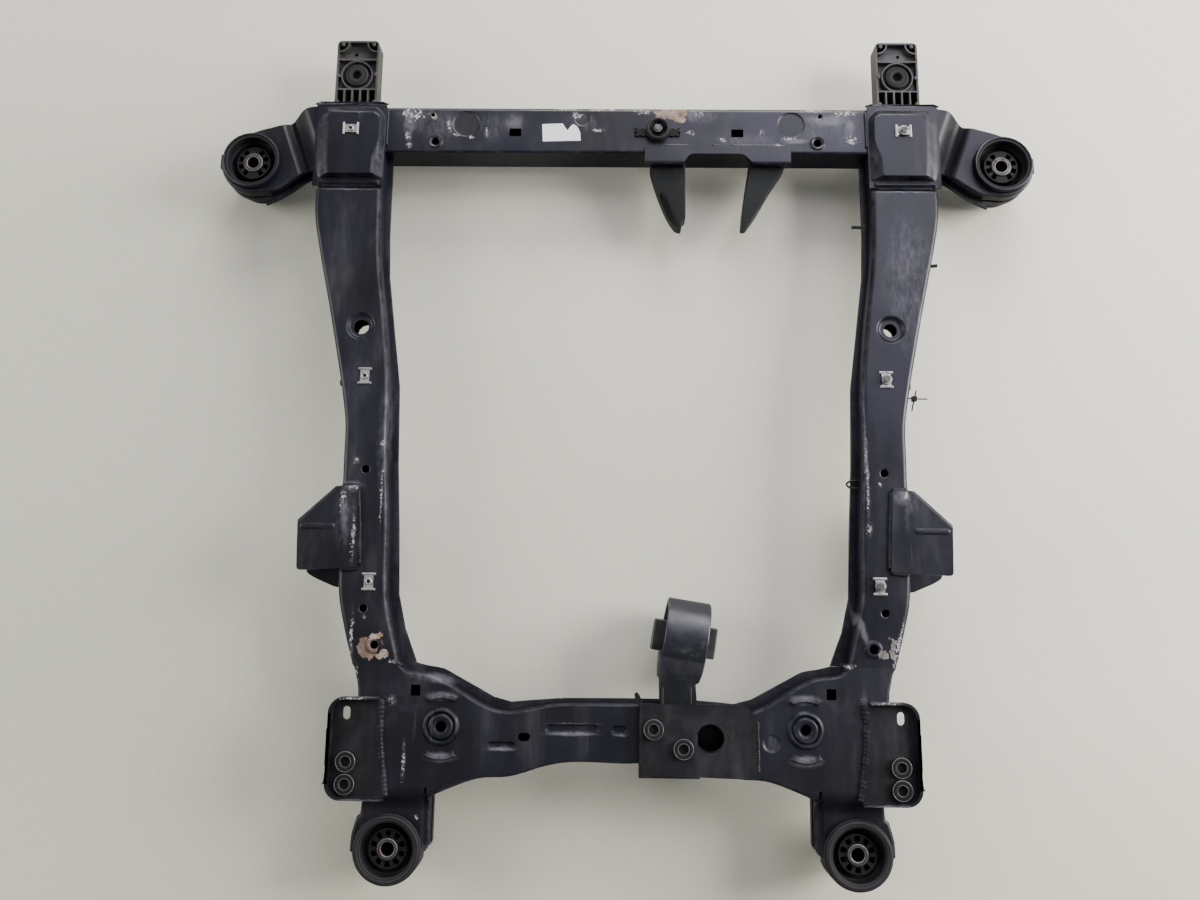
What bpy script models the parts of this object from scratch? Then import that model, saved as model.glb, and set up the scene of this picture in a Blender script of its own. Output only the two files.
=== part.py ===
"""Front subframe of a car: a welded cradle of pressed steel with rubber bushes, brackets and a torque mount.

The cradle lies flat on the lower ends of its four bush sleeves. +Y is the front of the vehicle, +X the
right of the picture and +Z the side that faces the road, which is the side with the clips and weld nuts.
"""
from math import asin, atan2, cos, degrees, pi, radians, sin

import bmesh
import bpy
from mathutils import Matrix, Vector
from mathutils.geometry import delaunay_2d_cdt

# Sheets and clearances, metres
GAP = 0.0003
SHEET = 0.0025
PLATE = 0.0035
FILLET = 0.0055
SMALL_FILLET = 0.0035
PLATE_FILLET = 0.0045

# Heights of the pressed faces above the floor
BEAM_FACE = 0.072
BEAM_DEPTH = 0.043
RAIL_FRONT_FACE = 0.078
RAIL_FACE = 0.090
BOX_DEPTH = 0.038
FLANGE_DROP = 0.028
CENTRE_DIP = 0.008
LEG_DROP = 0.012
LIP = 0.012

# Bush places
FRONT_BUSH = (0.500, 0.391)
REAR_BUSH = (0.274, -0.475)

# Front crossmember
BEAM_FRONT_Y = 0.4675
BEAM_REAR_Y = 0.4025
BEAM_REAR_FILLET = 0.0030
BEAM_END_X = 0.4090

# Side rails
RAIL_ROOT_Y = BEAM_REAR_Y - GAP
RAIL_TAIL_Y = -0.262
RAIL_TAIL_GAP = 0.0012
BEND_X = (0.25, 0.45)
RAIL_STEP_Y = 0.352
RAIL_STEP_RUN = 0.005
RAIL_LEVEL_Y = 0.020
RAIL_STATIONS = (0.295, 0.235, 0.150, 0.085, 0.036, -0.015, -0.100, -0.180, -0.222)
RAIL_OUTER = ((0.4050, 0.4070), (0.320, 0.4085), (0.276, 0.4015), (0.169, 0.3770), (0.041, 0.3510),
              (-0.012, 0.3490), (-0.175, 0.3465), (-0.226, 0.3360), (-0.262, 0.3255))
RAIL_INNER = ((0.4050, 0.3220), (0.330, 0.3215), (0.248, 0.3175), (0.167, 0.3065), (0.089, 0.2980),
              (0.000, 0.2955), (-0.100, 0.2895), (-0.180, 0.2870), (-0.218, 0.2795), (-0.262, 0.2680))
RAIL_FLANGE = ((0.4050, 0.3145), (0.330, 0.3145), (0.246, 0.3120), (0.163, 0.3010), (0.086, 0.2900),
               (0.000, 0.2870), (-0.098, 0.2815), (-0.172, 0.2790), (-0.221, 0.2685), (-0.262, 0.2525))

# Rear crossmember, right half
REAR_FACE_EDGE = ((0.268, -0.262), (0.257, -0.2715), (0.230, -0.2755), (0.208, -0.285), (0.165, -0.310),
                  (0.137, -0.317), (0.107, -0.3125), (0.070, -0.3078), (0.0, -0.3075))
REAR_FLANGE_EDGE = ((0.2525, -0.262), (0.240, -0.2655), (0.218, -0.2695), (0.198, -0.280), (0.156, -0.3025),
                    (0.135, -0.308), (0.107, -0.3055), (0.070, -0.3030), (0.0, -0.3025))
REAR_SIDE = ((0.3255, -0.262), (0.3165, -0.290), (0.3070, -0.420), (0.3130, -0.440), (0.3185, -0.461),
             (0.3190, -0.4785))
REAR_HEM = ((0.222, -0.413), (0.196, -0.4025), (0.167, -0.3935), (0.132, -0.3910), (0.091, -0.3800),
            (0.056, -0.3752), (0.0, -0.3765))
LEG_NOTCH = ((0.2345, -0.4800), (0.2285, -0.4785), (0.2280, -0.4725), (0.2220, -0.4720))
DIP_INNER_X = 0.092
DIP_OUTER_X = 0.122
LEG_BEND_Y = -0.405
LEG_FLAT_Y = -0.432
LEG_BEND_X = 0.200
LEG_BEND_SPAN = (0.21, 0.34)
DIP_BEND_SPAN = (-0.25, -0.45)
TRAY_FILLET = 0.002

# Front arms
ARM_ROOT_GAP = 0.0004
ARM_ROOT_X = BEAM_END_X + ARM_ROOT_GAP
ARM_FRONT = ((0.4200, 0.4678), (0.4365, 0.4638), (0.4475, 0.4570), (0.4572, 0.4495), (0.4710, 0.4446),
             (0.4900, 0.4395))
ARM_REAR = ((0.4740, 0.3500), (0.4600, 0.3565), (0.4440, 0.3680), (0.4250, 0.3800))
ARM_HEM = ((0.4835, 0.3375), (0.4610, 0.3485), (0.4420, 0.3620), (0.4235, 0.3760))
ARM_ROOT_REAR_Y = 0.3850
ARM_ROOT_HEM_Y = 0.3820
ARM_BEND = (0.450, 0.407)
ARM_BEND_HALF = 0.09
ARM_BEND_TURN = radians(-19.4)
ARM_SEAM = 0.048
ARM_FLOOR = 0.032
ARM_COLLAR = 0.062
ARM_VALLEY = 0.0545
ARM_STEPS = ((-0.034, BEAM_FACE), (-0.022, BEAM_FACE - 0.004), (-0.004, ARM_VALLEY), (0.0, ARM_COLLAR))
COLLAR_WALL = 0.0045
LEG_COLLAR = 0.0070
ARM_FILLET = 0.0022
NUB_REACH = 0.0505
NUB_HALF = 0.010
NUB_SHIFT = 0.009
NUB_TURNS = (-12, 30)
COLLAR_TRIM = (20, 22)

# Corner saddles
SADDLE_INNER_X = 0.3200
SADDLE_OUTER_X = 0.4145
SADDLE_REAR_Y = 0.3530
SADDLE_FRONT_Y = 0.4690
SADDLE_RISE = 0.0095
SADDLE_APRON = 0.014
SADDLE_CORNER = 0.006
SADDLE_EDGE = 0.0005
SADDLE_STRIP = 0.0080
SADDLE_STRIP_RISE = 0.0025
SADDLE_STRIP_SLOPE = 0.0018
SADDLE_GROOVE = 0.0018
SADDLE_SHOULDER = 0.0070
SADDLE_CROWN = ((0.3365, 0.3675), (0.3910, 0.3675), (0.3910, 0.4440), (0.3870, 0.4500), (0.3350, 0.4500),
                (0.3300, 0.4430), (0.3300, 0.4060), (0.3365, 0.3930))

# Bushes: radii and lengths
FRONT_CAN_R = 0.038
REAR_CAN_R = 0.0330
CAN_WALL = 0.0025
BUSH_STEPS = 16
SLEEVE_STEPS = 12
SLEEVE_R = 0.0130
REAR_SLEEVE_R = 0.0122
BORE_R = 0.0078
REAR_RIM_R = 0.0405
VOID_COUNT = 10
FRONT_VOIDS_LEFT_OUT = (2, 7)
VOID_REACH = 0.0039
VOID_DEPTH = 0.045
VOID_SIZE = (0.0060, 0.0056)
VOID_TAPER = 0.0008
HUB_R = 0.0228
HUB_STEP = 0.003
GROOVE_SLOPE = 0.0015
FRONT_SLEEVE_TOP = 0.062
REAR_SLEEVE_TOP = 0.081
CAN_FOOT = 0.014
CAN_PROUD = 0.009
REAR_CAN_RISE = 0.008
RIM_HEIGHT = 0.010
RIM_CHAMFER = 0.003
GROOVE_DEPTH = 0.0035
FRONT_RECESS_R = 0.0318
REAR_RECESS_R = 0.0303

# Holes and pressings in the faces
SQUARE_BEAM = (0.148, 0.4310, 0.0160, 0.0110)
BEAM_PIN_HOLE = (0.2585, 0.4555, 0.0028)
BEAM_BOSS_HOLE = (0.2540, 0.4170, 0.0048)
BEAM_DIMPLE = (0.2170, 0.4425, 0.0185)
DIMPLE_SLOPE = 0.003
BEAM_BOSS_RIM = 0.0050
ISOLATOR = (0.042, 0.4335)
ISOLATOR_R = 0.0152
STUD_NUT_R = 0.0062
STUD_BORE_R = 0.0030
ISOLATOR_SLOT = (0.060, 0.0085)
ISOLATOR_SLOT_SHIFT = 0.004
ISOLATOR_CHAMFER_R = 0.0118
RAIL_HOLE = (0.3375, 0.1575, 0.0100)
RAIL_DIMPLE_R = 0.0180
RAIL_DIMPLE = 0.004
RAIL_DIMPLE_FLAT = 0.003
RAIL_FLOOR_CLEAR = 0.002
RAIL_PIN_HOLES = ((0.3200, -0.0280, 0.0048), (0.3145, -0.1980, 0.0046))
RAIL_BOSS_HOLE = (0.2985, -0.2410, 0.0050)
RAIL_BOSS_RIM = 0.0055
REAR_SQUARE = (0.2468, -0.2935, 0.0115, 0.0128)
REAR_BOSS = (0.2152, -0.3350)
CRESCENT_R = 0.0350
CRESCENT_WIDTH = 0.0078
CRESCENT_SLOPE = 0.0022
CRESCENT_HALF_TURN = 30
CRESCENT_RISE = 0.0026
REAR_BOSS_RINGS = ((0.0210, 0.0), (0.0175, 0.0022))
REAR_BOSS_BORE_R = 0.0057
REAR_VIEW_HOLE = (-0.1165, -0.3460, 0.0070)
REAR_BEADS = ((-0.093, -0.028, -0.3370, 0.0066), (-0.014, 0.006, -0.3380, 0.0062),
              (-0.160, -0.126, -0.3560, 0.0055))
BEAD_DEPTH = 0.003
BOSS_RISE = 0.001
DIMPLE_DEPTH = 0.0012

# Control-arm brackets at the front of the rails
ARM_PLATE = ((0.3280, -0.0490), (0.3250, -0.1000), (0.3225, -0.1490), (0.3970, -0.1530), (0.3995, -0.0855),
             (0.3560, -0.0500))
ARM_LOWER_PLATE = ((0.3050, -0.0520), (0.3050, -0.1720), (0.3600, -0.1720), (0.3860, -0.1610),
                   (0.3980, -0.1540), (0.4000, -0.0870), (0.3570, -0.0520))
ARM_PLATE_APRON = 0.010

# Control-arm plates at the rear corners
REAR_PLATE_X = (0.2895, 0.3470)
REAR_PLATE_Y = (-0.4185, -0.3010)
REAR_PLATE_CORNER = 0.019
REAR_PLATE_LIP = 0.0065
REAR_PLATE_TAPER = 0.011
REAR_PLATE_SLOT = (0.3265, -0.3200, 0.0085, 0.0130)
REAR_NUTS = ((0.3240, -0.3750), (0.3240, -0.4005))
NUT_R = 0.0118
NUT_CHAMFER = 0.001
NUT_BORE_R = 0.0055
NUT_HEIGHT = 0.0045
NUT_STEPS = 10

# Centre plate and torque mount
CENTRE_PLATE_X = (0.0188, 0.1575)
CENTRE_PLATE_Y = (-0.3910, -0.3065)
CENTRE_PLATE_CORNER = 0.022
CENTRE_PLATE_WALL = 0.030
CENTRE_NUTS = ((0.0360, -0.3350), (0.0710, -0.3570))
CENTRE_HOLE = (0.1030, -0.3450, 0.0165)
RING_CENTRE = (0.0755, -0.2310)
RING_R = 0.0475
RING_BORE_R = 0.0400
RING_WIDTH = 0.0530
RING_TURN = radians(-9.0)
RING_FOOT = 0.0015
RING_STEPS = 20
LEG_X = (0.0430, 0.0840)
LEG_FOOT_X = (0.0275, 0.0880)
LEG_FOOT_Y = (-0.3705, -0.3180)
LEG_THICKNESS = 0.025
LEG_TOP_CLEAR = 0.0006
LEG_SLOT_CLEAR = 0.002
LEG_SLOT_Y = -0.29
RUBBER_INSET = 0.004
CORE_SIZE = (0.0790, 0.0380, 0.0200)
CORE_BORE_R = 0.0062

# Engine bracket under the front crossmember
HORN_PLATE_X = (0.0250, 0.2180)
HORN_PLATE_Y = (0.3865, 0.4115)
HORN_ARCH_X = (0.0856, 0.1544)
HORN_ARCH_Y = 0.4005
HORN_ARCH_R = 0.009
HORN_APRON = 0.012
HORN_DEPTH = 0.022
HORN_LEFT = ((0.0315, 0.4030), (0.0315, 0.3857), (0.0417, 0.3488), (0.0538, 0.3187), (0.0640, 0.2995),
             (0.0680, 0.2965), (0.0745, 0.2962), (0.0765, 0.3094), (0.0803, 0.3150), (0.0805, 0.4030))
HORN_RIGHT = ((0.1665, 0.4030), (0.1641, 0.3887), (0.1618, 0.3669), (0.1549, 0.3151), (0.1518, 0.2975),
              (0.1602, 0.2970), (0.1772, 0.3238), (0.1920, 0.3541), (0.2131, 0.3890), (0.2134, 0.4030))

# Radiator support brackets
SUPPORT_X = 0.3670
SUPPORT_HALF = 0.0285
SUPPORT_TIP_Y = 0.5700
SUPPORT_TOP = 0.062
SUPPORT_HEIGHT = 0.024
SUPPORT_WALL = 0.0028
SUPPORT_RIB = 0.0022
SUPPORT_FLOOR = 0.003
SUPPORT_TRAY = 0.0070
SUPPORT_BAYS = 5
SUPPORT_CORNER = 0.006
SUPPORT_POCKET_R = 0.0120
SUPPORT_CROSS_Y = (0.5405, 0.5435)
SUPPORT_COLLAR = 0.0030
SUPPORT_CAP_DROP = 0.004
SUPPORT_CAP_PROUD = 0.001
SUPPORT_BUSH_Y = 0.5190
SUPPORT_BUSH_R = 0.0195
SUPPORT_CAP_R = 0.0148
SUPPORT_BORE_R = 0.0060

# Spring nuts and their screws
CLIPS = (("clip_front", 0.3645, 0.4285, 0.0), ("clip_middle", 0.3275, 0.0910, pi / 2),
         ("clip_rear", 0.3090, -0.1660, pi / 2))
CLIP_LENGTH = 0.0215
CLIP_BAR = 0.0170
CLIP_WAIST = 0.0105
CLIP_SHEET = 0.0014
CLIP_BAR_WIDTH = 0.0032
SCREW_HEAD_R = 0.0045
SCREW_HEAD = 0.0040
CLIP_CLEAR = 0.00036

# The cradle is centred on the floor between its foremost and rearmost points
CENTRE_Y = (SUPPORT_TIP_Y + REAR_BUSH[1] - REAR_RIM_R) / 2

# Colours
PAINT = (0.018, 0.018, 0.024)
RUBBER = (0.015, 0.015, 0.016)
STEEL = (0.28, 0.25, 0.22)
ZINC = (0.62, 0.62, 0.60)
CASTING = (0.020, 0.020, 0.022)


def clear_scene():
    for old in list(bpy.data.objects):
        bpy.data.objects.remove(old, do_unlink=True)


def collection(name):
    made = bpy.data.collections.new(name)
    bpy.context.scene.collection.children.link(made)
    return made


def material(name, colour, metallic, roughness):
    made = bpy.data.materials.new(name)
    made.use_nodes = True
    shader = made.node_tree.nodes["Principled BSDF"]
    shader.inputs["Base Color"].default_value = (*colour, 1.0)
    shader.inputs["Metallic"].default_value = metallic
    shader.inputs["Roughness"].default_value = roughness
    return made


def add_object(name, mesh, finish, parent=None):
    made = bpy.data.objects.new(name, mesh)
    PARTS.objects.link(made)
    made.data.materials.append(finish)
    made.parent = CRADLE if parent is None else parent
    return made


def add_cutter(name, mesh):
    made = bpy.data.objects.new(name, mesh)
    CUTTERS.objects.link(made)
    made.parent = CRADLE
    made.hide_render = True
    made.display_type = 'WIRE'
    return made


def cut(piece, cutter, operation='DIFFERENCE'):
    modifier = piece.modifiers.new("cut " + cutter.name, 'BOOLEAN')
    modifier.operation = operation
    modifier.solver = 'EXACT'
    modifier.object = cutter


def mesh_of(maker):
    """Runs a bmesh builder and returns its mesh."""
    work = bmesh.new()
    maker(work)
    made = bpy.data.meshes.new("mesh")
    work.to_mesh(made)
    work.free()
    return made


def mirror_x(work):
    for vertex in work.verts:
        vertex.co.x = -vertex.co.x
    bmesh.ops.reverse_faces(work, faces=work.faces)


# Outlines

def lerp(a, b, t):
    return tuple(p + (q - p) * t for p, q in zip(a, b))


def spline(points, steps):
    """Points on a smooth curve through the given ones, with this many steps in each span."""
    line = [tuple(2 * a - b for a, b in zip(points[0], points[1])), *points,
            tuple(2 * a - b for a, b in zip(points[-1], points[-2]))]
    made = []
    for p, q, r, s in zip(line, line[1:], line[2:], line[3:]):
        for k in range(steps):
            t = k / steps
            made.append(tuple(0.5 * (2 * b + (c - a) * t + (2 * a - 5 * b + 4 * c - d) * t * t
                                     + (3 * b - a - 3 * c + d) * t ** 3) for a, b, c, d in zip(p, q, r, s)))
    made.append(tuple(points[-1]))
    return made


def edge_x(points, y):
    """The x of a smooth edge, given as (y, x) points from front to rear, at one y."""
    for (p, q, r, s) in zip((points[0], *points), points, points[1:], (*points[2:], points[-1])):
        if q[0] >= y >= r[0]:
            t = (y - q[0]) / (r[0] - q[0])
            m0 = (r[1] - p[1]) / (r[0] - p[0]) * (r[0] - q[0])
            m1 = (s[1] - q[1]) / (s[0] - q[0]) * (r[0] - q[0])
            return ((2 * t ** 3 - 3 * t * t + 1) * q[1] + (t ** 3 - 2 * t * t + t) * m0
                    + (3 * t * t - 2 * t ** 3) * r[1] + (t ** 3 - t * t) * m1)
    return points[-1][1]


def arc(centre, radius, start, end, steps):
    """Points of an arc, angles in degrees, both ends included."""
    turns = [radians(start + (end - start) * k / steps) for k in range(steps + 1)]
    return [(centre[0] + radius * cos(a), centre[1] + radius * sin(a)) for a in turns]


def circle(x, y, radius, steps):
    return arc((x, y), radius, 0, 360, steps)[:-1]


def box_loop(x, y, width, length):
    return [(x - width / 2, y - length / 2), (x + width / 2, y - length / 2),
            (x + width / 2, y + length / 2), (x - width / 2, y + length / 2)]


def capsule(x0, x1, y, half, steps=4):
    right = arc((x1 - half, y), half, -90, 90, steps)
    left = arc((x0 + half, y), half, 90, 270, steps)
    return right + left


def inset_loop(loop, distances):
    """Moves each side of a loop, which runs anticlockwise, inwards by its own distance."""
    count = len(loop)
    made = []
    for i in range(count):
        p, q, r = loop[i - 1], loop[i], loop[(i + 1) % count]
        a, b = distances[i - 1], distances[i]
        u = Vector((q[0] - p[0], q[1] - p[1])).normalized()
        v = Vector((r[0] - q[0], r[1] - q[1])).normalized()
        n, m = Vector((-u.y, u.x)), Vector((-v.y, v.x))
        turn = u.x * v.y - u.y * v.x
        start = Vector(q) + n * a
        if abs(turn) < 0.02:
            made.append(tuple(Vector(q) + (n + m).normalized() * (a + b) / 2))
        else:
            other = Vector(q) + m * b
            t = ((other.x - start.x) * v.y - (other.y - start.y) * v.x) / turn
            made.append(tuple(start + u * t))
    return made


def offset_line(points, distance):
    """Moves an open line to its left by a distance, and keeps its ends at their y."""
    first, last = points[0], points[-1]
    far = [(last[0] + last[0] - points[-2][0], last[1] + last[1] - points[-2][1]),
           (first[0] + first[0] - points[1][0], first[1] + first[1] - points[1][1])]
    made = inset_loop([*points, *far], [distance] * (len(points) + 2))[:len(points)]
    return [(made[0][0], first[1]), *made[1:-1], (made[-1][0], last[1])]


def inside(loop, x, y):
    odd = False
    for (x0, y0), (x1, y1) in zip(loop, loop[1:] + loop[:1]):
        if (y0 > y) != (y1 > y) and x < x0 + (y - y0) * (x1 - x0) / (y1 - y0):
            odd = not odd
    return odd


# Pressed sheets

class Side:
    """One side of a pressed sheet's outline: an open end, a wall, or a wall with a flange at its foot."""

    def __init__(self, points, kind="open", foot=0.0, fillet=FILLET, rim=None):
        self.points = list(points)
        self.kind = kind
        self.foot = foot
        self.fillet = 0.0 if kind == "open" else fillet
        self.rim = rim


def pressed(name, finish, sides, level, rings=(), holes=(), bends=(), up=1, thickness=SHEET, rounds=1,
            mirror=False):
    """A pressed sheet: a face that follows level(x, y), with rounded shoulders, walls and flanges round it.

    rings are (loop, rise) pairs of closed lines that are raised or sunk, holes are (loop, rise) pairs that
    go through, bends are straight lines where the face changes its slope, and up is -1 for a tray.
    """
    loop, spans = [], []
    for side in sides:
        for i, point in enumerate(side.points[:-1]):
            loop.append(point)
            spans.append((side, i))
    count = len(loop)
    crown = inset_loop(loop, [side.fillet for side, _ in spans])
    fillets = [max(spans[i - 1][0].fillet, spans[i][0].fillet) for i in range(count)]

    points = [Vector(p) for p in crown]
    edges = [(i, (i + 1) % count) for i in range(count)]
    rises = {}
    for line, rise in (*rings, *holes):
        first = len(points)
        points += [Vector(p) for p in line]
        edges += [(first + k, first + (k + 1) % len(line)) for k in range(len(line))]
        rises.update({first + k: rise for k in range(len(line))})
    for start, end in bends:
        edges.append((len(points), len(points) + 1))
        points += [Vector(start), Vector(end)]
    flat, _, faces, origins, _, _ = delaunay_2d_cdt(points, edges, [], 0, 1e-7)

    work = bmesh.new()
    corners = {}

    def corner(k):
        if k not in corners:
            x, y = flat[k]
            rise = next((rises[o] for o in origins[k] if o in rises), 0.0)
            corners[k] = work.verts.new((x, y, level(x, y) + rise))
        return corners[k]

    used = {}
    for face in faces:
        x = sum(flat[k].x for k in face) / 3
        y = sum(flat[k].y for k in face) / 3
        if not inside(crown, x, y) or any(inside(hole, x, y) for hole, _ in holes):
            continue
        work.faces.new([corner(k) for k in face])
        for a, b in zip(face, face[1:] + face[:1]):
            used[(a, b)] = True

    def places(k):
        """The outline spans that a point of the face's rim lies on, with how far along."""
        found = {}
        for i in range(count):
            a, b = Vector(crown[i]), Vector(crown[(i + 1) % count])
            along = (b - a).length
            if along < 1e-9:
                continue
            t = (flat[k] - a).dot(b - a) / along ** 2
            if -1e-5 < t < 1 + 1e-5 and (a + (b - a) * t - flat[k]).length < 2e-6:
                found[i] = min(max(t, 0.0), 1.0)
        return found

    columns = {}

    def column(k, i, t):
        """The points below one rim point: half way round the shoulder, under it, at the foot, at the rim."""
        rim_key = (k, spans[i][0].kind == "flange")
        if rim_key in columns:
            return columns[rim_key]
        side, step = spans[i]
        x, y = lerp(loop[i], loop[(i + 1) % count], t)
        fillet = fillets[i] + (fillets[(i + 1) % count] - fillets[i]) * t
        top = corner(k).co.z
        foot = side.foot(x, y) if callable(side.foot) else side.foot
        other = columns.get((k, not rim_key[1]))
        if other:
            made = list(other[:rounds + 1])
        else:
            made = []
            for turn in range(1, rounds + 1):
                a = pi / 2 * turn / rounds
                px, py = lerp(tuple(flat[k]), (x, y), sin(a))
                made.append(work.verts.new((px, py, top - up * fillet * (1 - cos(a)))))
            made.append(work.verts.new((x, y, foot)))
        if side.kind == "flange":
            rx, ry = lerp(side.rim[step], side.rim[step + 1], t)
            made.append(work.verts.new((rx, ry, foot)))
        columns[rim_key] = made
        return made

    for (a, b) in used:
        if (b, a) in used:
            continue
        on_a, on_b = places(a), places(b)
        shared = [i for i in on_a if i in on_b]
        if not shared:
            continue
        i = shared[0]
        if spans[i][0].kind == "open":
            continue
        first = [corner(a), *column(a, i, on_a[i])]
        last = [corner(b), *column(b, i, on_b[i])]
        for p, q, r, s in zip(first, first[1:], last[1:], last):
            work.faces.new((s, p, q, r))
    if up < 0:
        bmesh.ops.reverse_faces(work, faces=work.faces)
    if mirror:
        mirror_x(work)
    made = bpy.data.meshes.new(name)
    work.to_mesh(made)
    work.free()
    piece = add_object(name, made, finish)
    solid = piece.modifiers.new("thickness", 'SOLIDIFY')
    solid.thickness = thickness
    solid.offset = -1
    solid.use_even_offset = True
    solid.use_quality_normals = True
    return piece


def plate_mesh(loops, foot, top, mirror=False):
    """A flat body between two heights: the first loop is its outline and the others are holes in it."""
    points, edges = [], []
    for loop in loops:
        first = len(points)
        points += [Vector(p) for p in loop]
        edges += [(first + k, first + (k + 1) % len(loop)) for k in range(len(loop))]
    flat, _, faces, _, _, _ = delaunay_2d_cdt(points, edges, [], 0, 1e-7)

    def build(work):
        corners = [work.verts.new((x, y, foot)) for x, y in flat]
        kept = []
        for face in faces:
            x = sum(flat[k].x for k in face) / 3
            y = sum(flat[k].y for k in face) / 3
            if inside(loops[0], x, y) and not any(inside(loop, x, y) for loop in loops[1:]):
                kept.append(work.faces.new([corners[k] for k in face]))
        bmesh.ops.reverse_faces(work, faces=kept)
        grown = bmesh.ops.extrude_face_region(work, geom=kept, use_keep_orig=True)
        moved = [v for v in grown["geom"] if isinstance(v, bmesh.types.BMVert)]
        bmesh.ops.translate(work, verts=moved, vec=(0, 0, top - foot))
        bmesh.ops.recalc_face_normals(work, faces=work.faces)
        if mirror:
            mirror_x(work)
    return mesh_of(build)


def slab(name, finish, loop, foot, height, mirror=False, holes=()):
    """A flat plate of an outline, standing on the height foot."""
    return add_object(name, plate_mesh([loop, *holes], foot, foot + height, mirror), finish)


def prism_cutter(name, loop, foot, top, mirror=False, holes=()):
    return add_cutter(name, plate_mesh([loop, *holes], foot, top, mirror))


def turned(name, finish, profile, steps, place, turn=None):
    """A turned ring: a closed profile of (radius, height) that runs down its outer side, with a Screw."""
    made = bpy.data.meshes.new(name)
    count = len(profile)
    made.from_pydata([(r, 0, z) for r, z in profile], [(i, (i + 1) % count) for i in range(count)], [])
    piece = add_object(name, made, finish)
    piece.location = place
    if turn is not None:
        piece.rotation_euler = turn
    screw = piece.modifiers.new("turn", 'SCREW')
    screw.steps = steps
    screw.render_steps = steps
    screw.angle = 2 * pi
    screw.use_merge_vertices = True
    screw.merge_threshold = 0.00001
    return piece


# The pressed boxes

def rail_level(x, y):
    """Height of a rail's face: low under the saddle, then a step up and a slow rise to the middle."""
    if y >= RAIL_STEP_Y:
        return BEAM_FACE
    if y >= RAIL_STEP_Y - RAIL_STEP_RUN:
        return BEAM_FACE + (RAIL_FRONT_FACE - BEAM_FACE) * (RAIL_STEP_Y - y) / RAIL_STEP_RUN
    if y >= RAIL_LEVEL_Y:
        run = RAIL_STEP_Y - RAIL_STEP_RUN - RAIL_LEVEL_Y
        return RAIL_FRONT_FACE + (RAIL_FACE - RAIL_FRONT_FACE) * (RAIL_STEP_Y - RAIL_STEP_RUN - y) / run
    return RAIL_FACE


def rail_slope(x, y):
    """Height that the rail's flange and floor follow, without the step under the saddle."""
    return rail_level(x, min(y, RAIL_STEP_Y - RAIL_STEP_RUN))


def rail_floor(x, y):
    return rail_slope(x, y) - BOX_DEPTH


def rail_edges():
    """Outer, inner and flange edges of a rail, each from front to rear."""
    stations = (RAIL_ROOT_Y, RAIL_STEP_Y, RAIL_STEP_Y - RAIL_STEP_RUN, *RAIL_STATIONS,
                RAIL_TAIL_Y + RAIL_TAIL_GAP / 2)
    return [[(edge_x(table, y), y) for y in stations] for table in (RAIL_OUTER, RAIL_INNER, RAIL_FLANGE)]


def rail_bends():
    rows = (RAIL_STEP_Y, RAIL_STEP_Y - RAIL_STEP_RUN, RAIL_LEVEL_Y)
    return [((BEND_X[0], y), (BEND_X[1], y)) for y in rows]


def rail_seam(x, y):
    return rail_slope(x, y) - FLANGE_DROP


def rail_tray_seam(x, y):
    return rail_seam(x, y) - 2 * SHEET - GAP


def rail_tray_rim(x, y):
    return rail_floor(x, y) + LIP


def make_rail(name, mirror):
    outer, inner, flange = rail_edges()
    x, y, r = RAIL_HOLE
    rings = [(circle(x, y, RAIL_DIMPLE_R, 12), 0.0), (circle(x, y, r + RAIL_DIMPLE_FLAT, 12), -RAIL_DIMPLE)]
    holes = [(circle(x, y, r, 12), -RAIL_DIMPLE)]
    holes += [(circle(px, py, pr, 6), 0.0) for px, py, pr in RAIL_PIN_HOLES]
    bx, by, br = RAIL_BOSS_HOLE
    rings.append((circle(bx, by, br + RAIL_BOSS_RIM, 8), 0.0))
    holes.append((circle(bx, by, br, 8), BOSS_RISE))
    sides = [Side(outer[::-1], "wall", rail_floor), Side([outer[0], inner[0]]),
             Side(inner, "flange", rail_seam, FILLET, flange), Side([inner[-1], outer[-1]])]
    return pressed("rail_upper_" + name, PAINTED, sides, rail_level, rings, holes, rail_bends(),
                   mirror=mirror)


def make_rail_floor(name, mirror):
    outer, inner, flange = rail_edges()
    shift = SHEET + GAP
    outer = [(x - shift, y) for x, y in outer]
    sides = [Side(outer[::-1], "wall", rail_tray_rim, SMALL_FILLET), Side([outer[0], inner[0]]),
             Side(inner, "flange", rail_tray_seam, SMALL_FILLET, flange), Side([inner[-1], outer[-1]])]
    x, y, r = RAIL_HOLE
    holes = [(circle(x, y, r + RAIL_FLOOR_CLEAR, 12), 0.0)]
    return pressed("rail_lower_" + name, PAINTED, sides, rail_floor, (), holes, rail_bends()[1:], up=-1,
                   mirror=mirror)


def mirrored(points):
    return [(-x, y) for x, y in reversed(points)]


def rear_level(x, y):
    if abs(x) < DIP_OUTER_X:
        share = min(1.0, (DIP_OUTER_X - abs(x)) / (DIP_OUTER_X - DIP_INNER_X))
        return RAIL_FACE - CENTRE_DIP * share
    if abs(x) > LEG_BEND_X and y < LEG_BEND_Y:
        share = min(1.0, (LEG_BEND_Y - y) / (LEG_BEND_Y - LEG_FLAT_Y))
        return RAIL_FACE - LEG_DROP * share
    return RAIL_FACE


def leg_end():
    """The end of a rear leg round its bush, from the outer notch to the inner one."""
    return arc(REAR_BUSH, REAR_CAN_R + GAP + LEG_COLLAR, -12, -160, 7)


def rear_bottom(steps):
    """The right half of the rear edge, from the rail's joint round the leg to the middle."""
    side = [(REAR_SIDE[0][0], REAR_SIDE[0][1] - RAIL_TAIL_GAP / 2), *REAR_SIDE[1:]]
    return side + leg_end() + list(LEG_NOTCH) + spline(REAR_HEM, steps)


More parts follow.
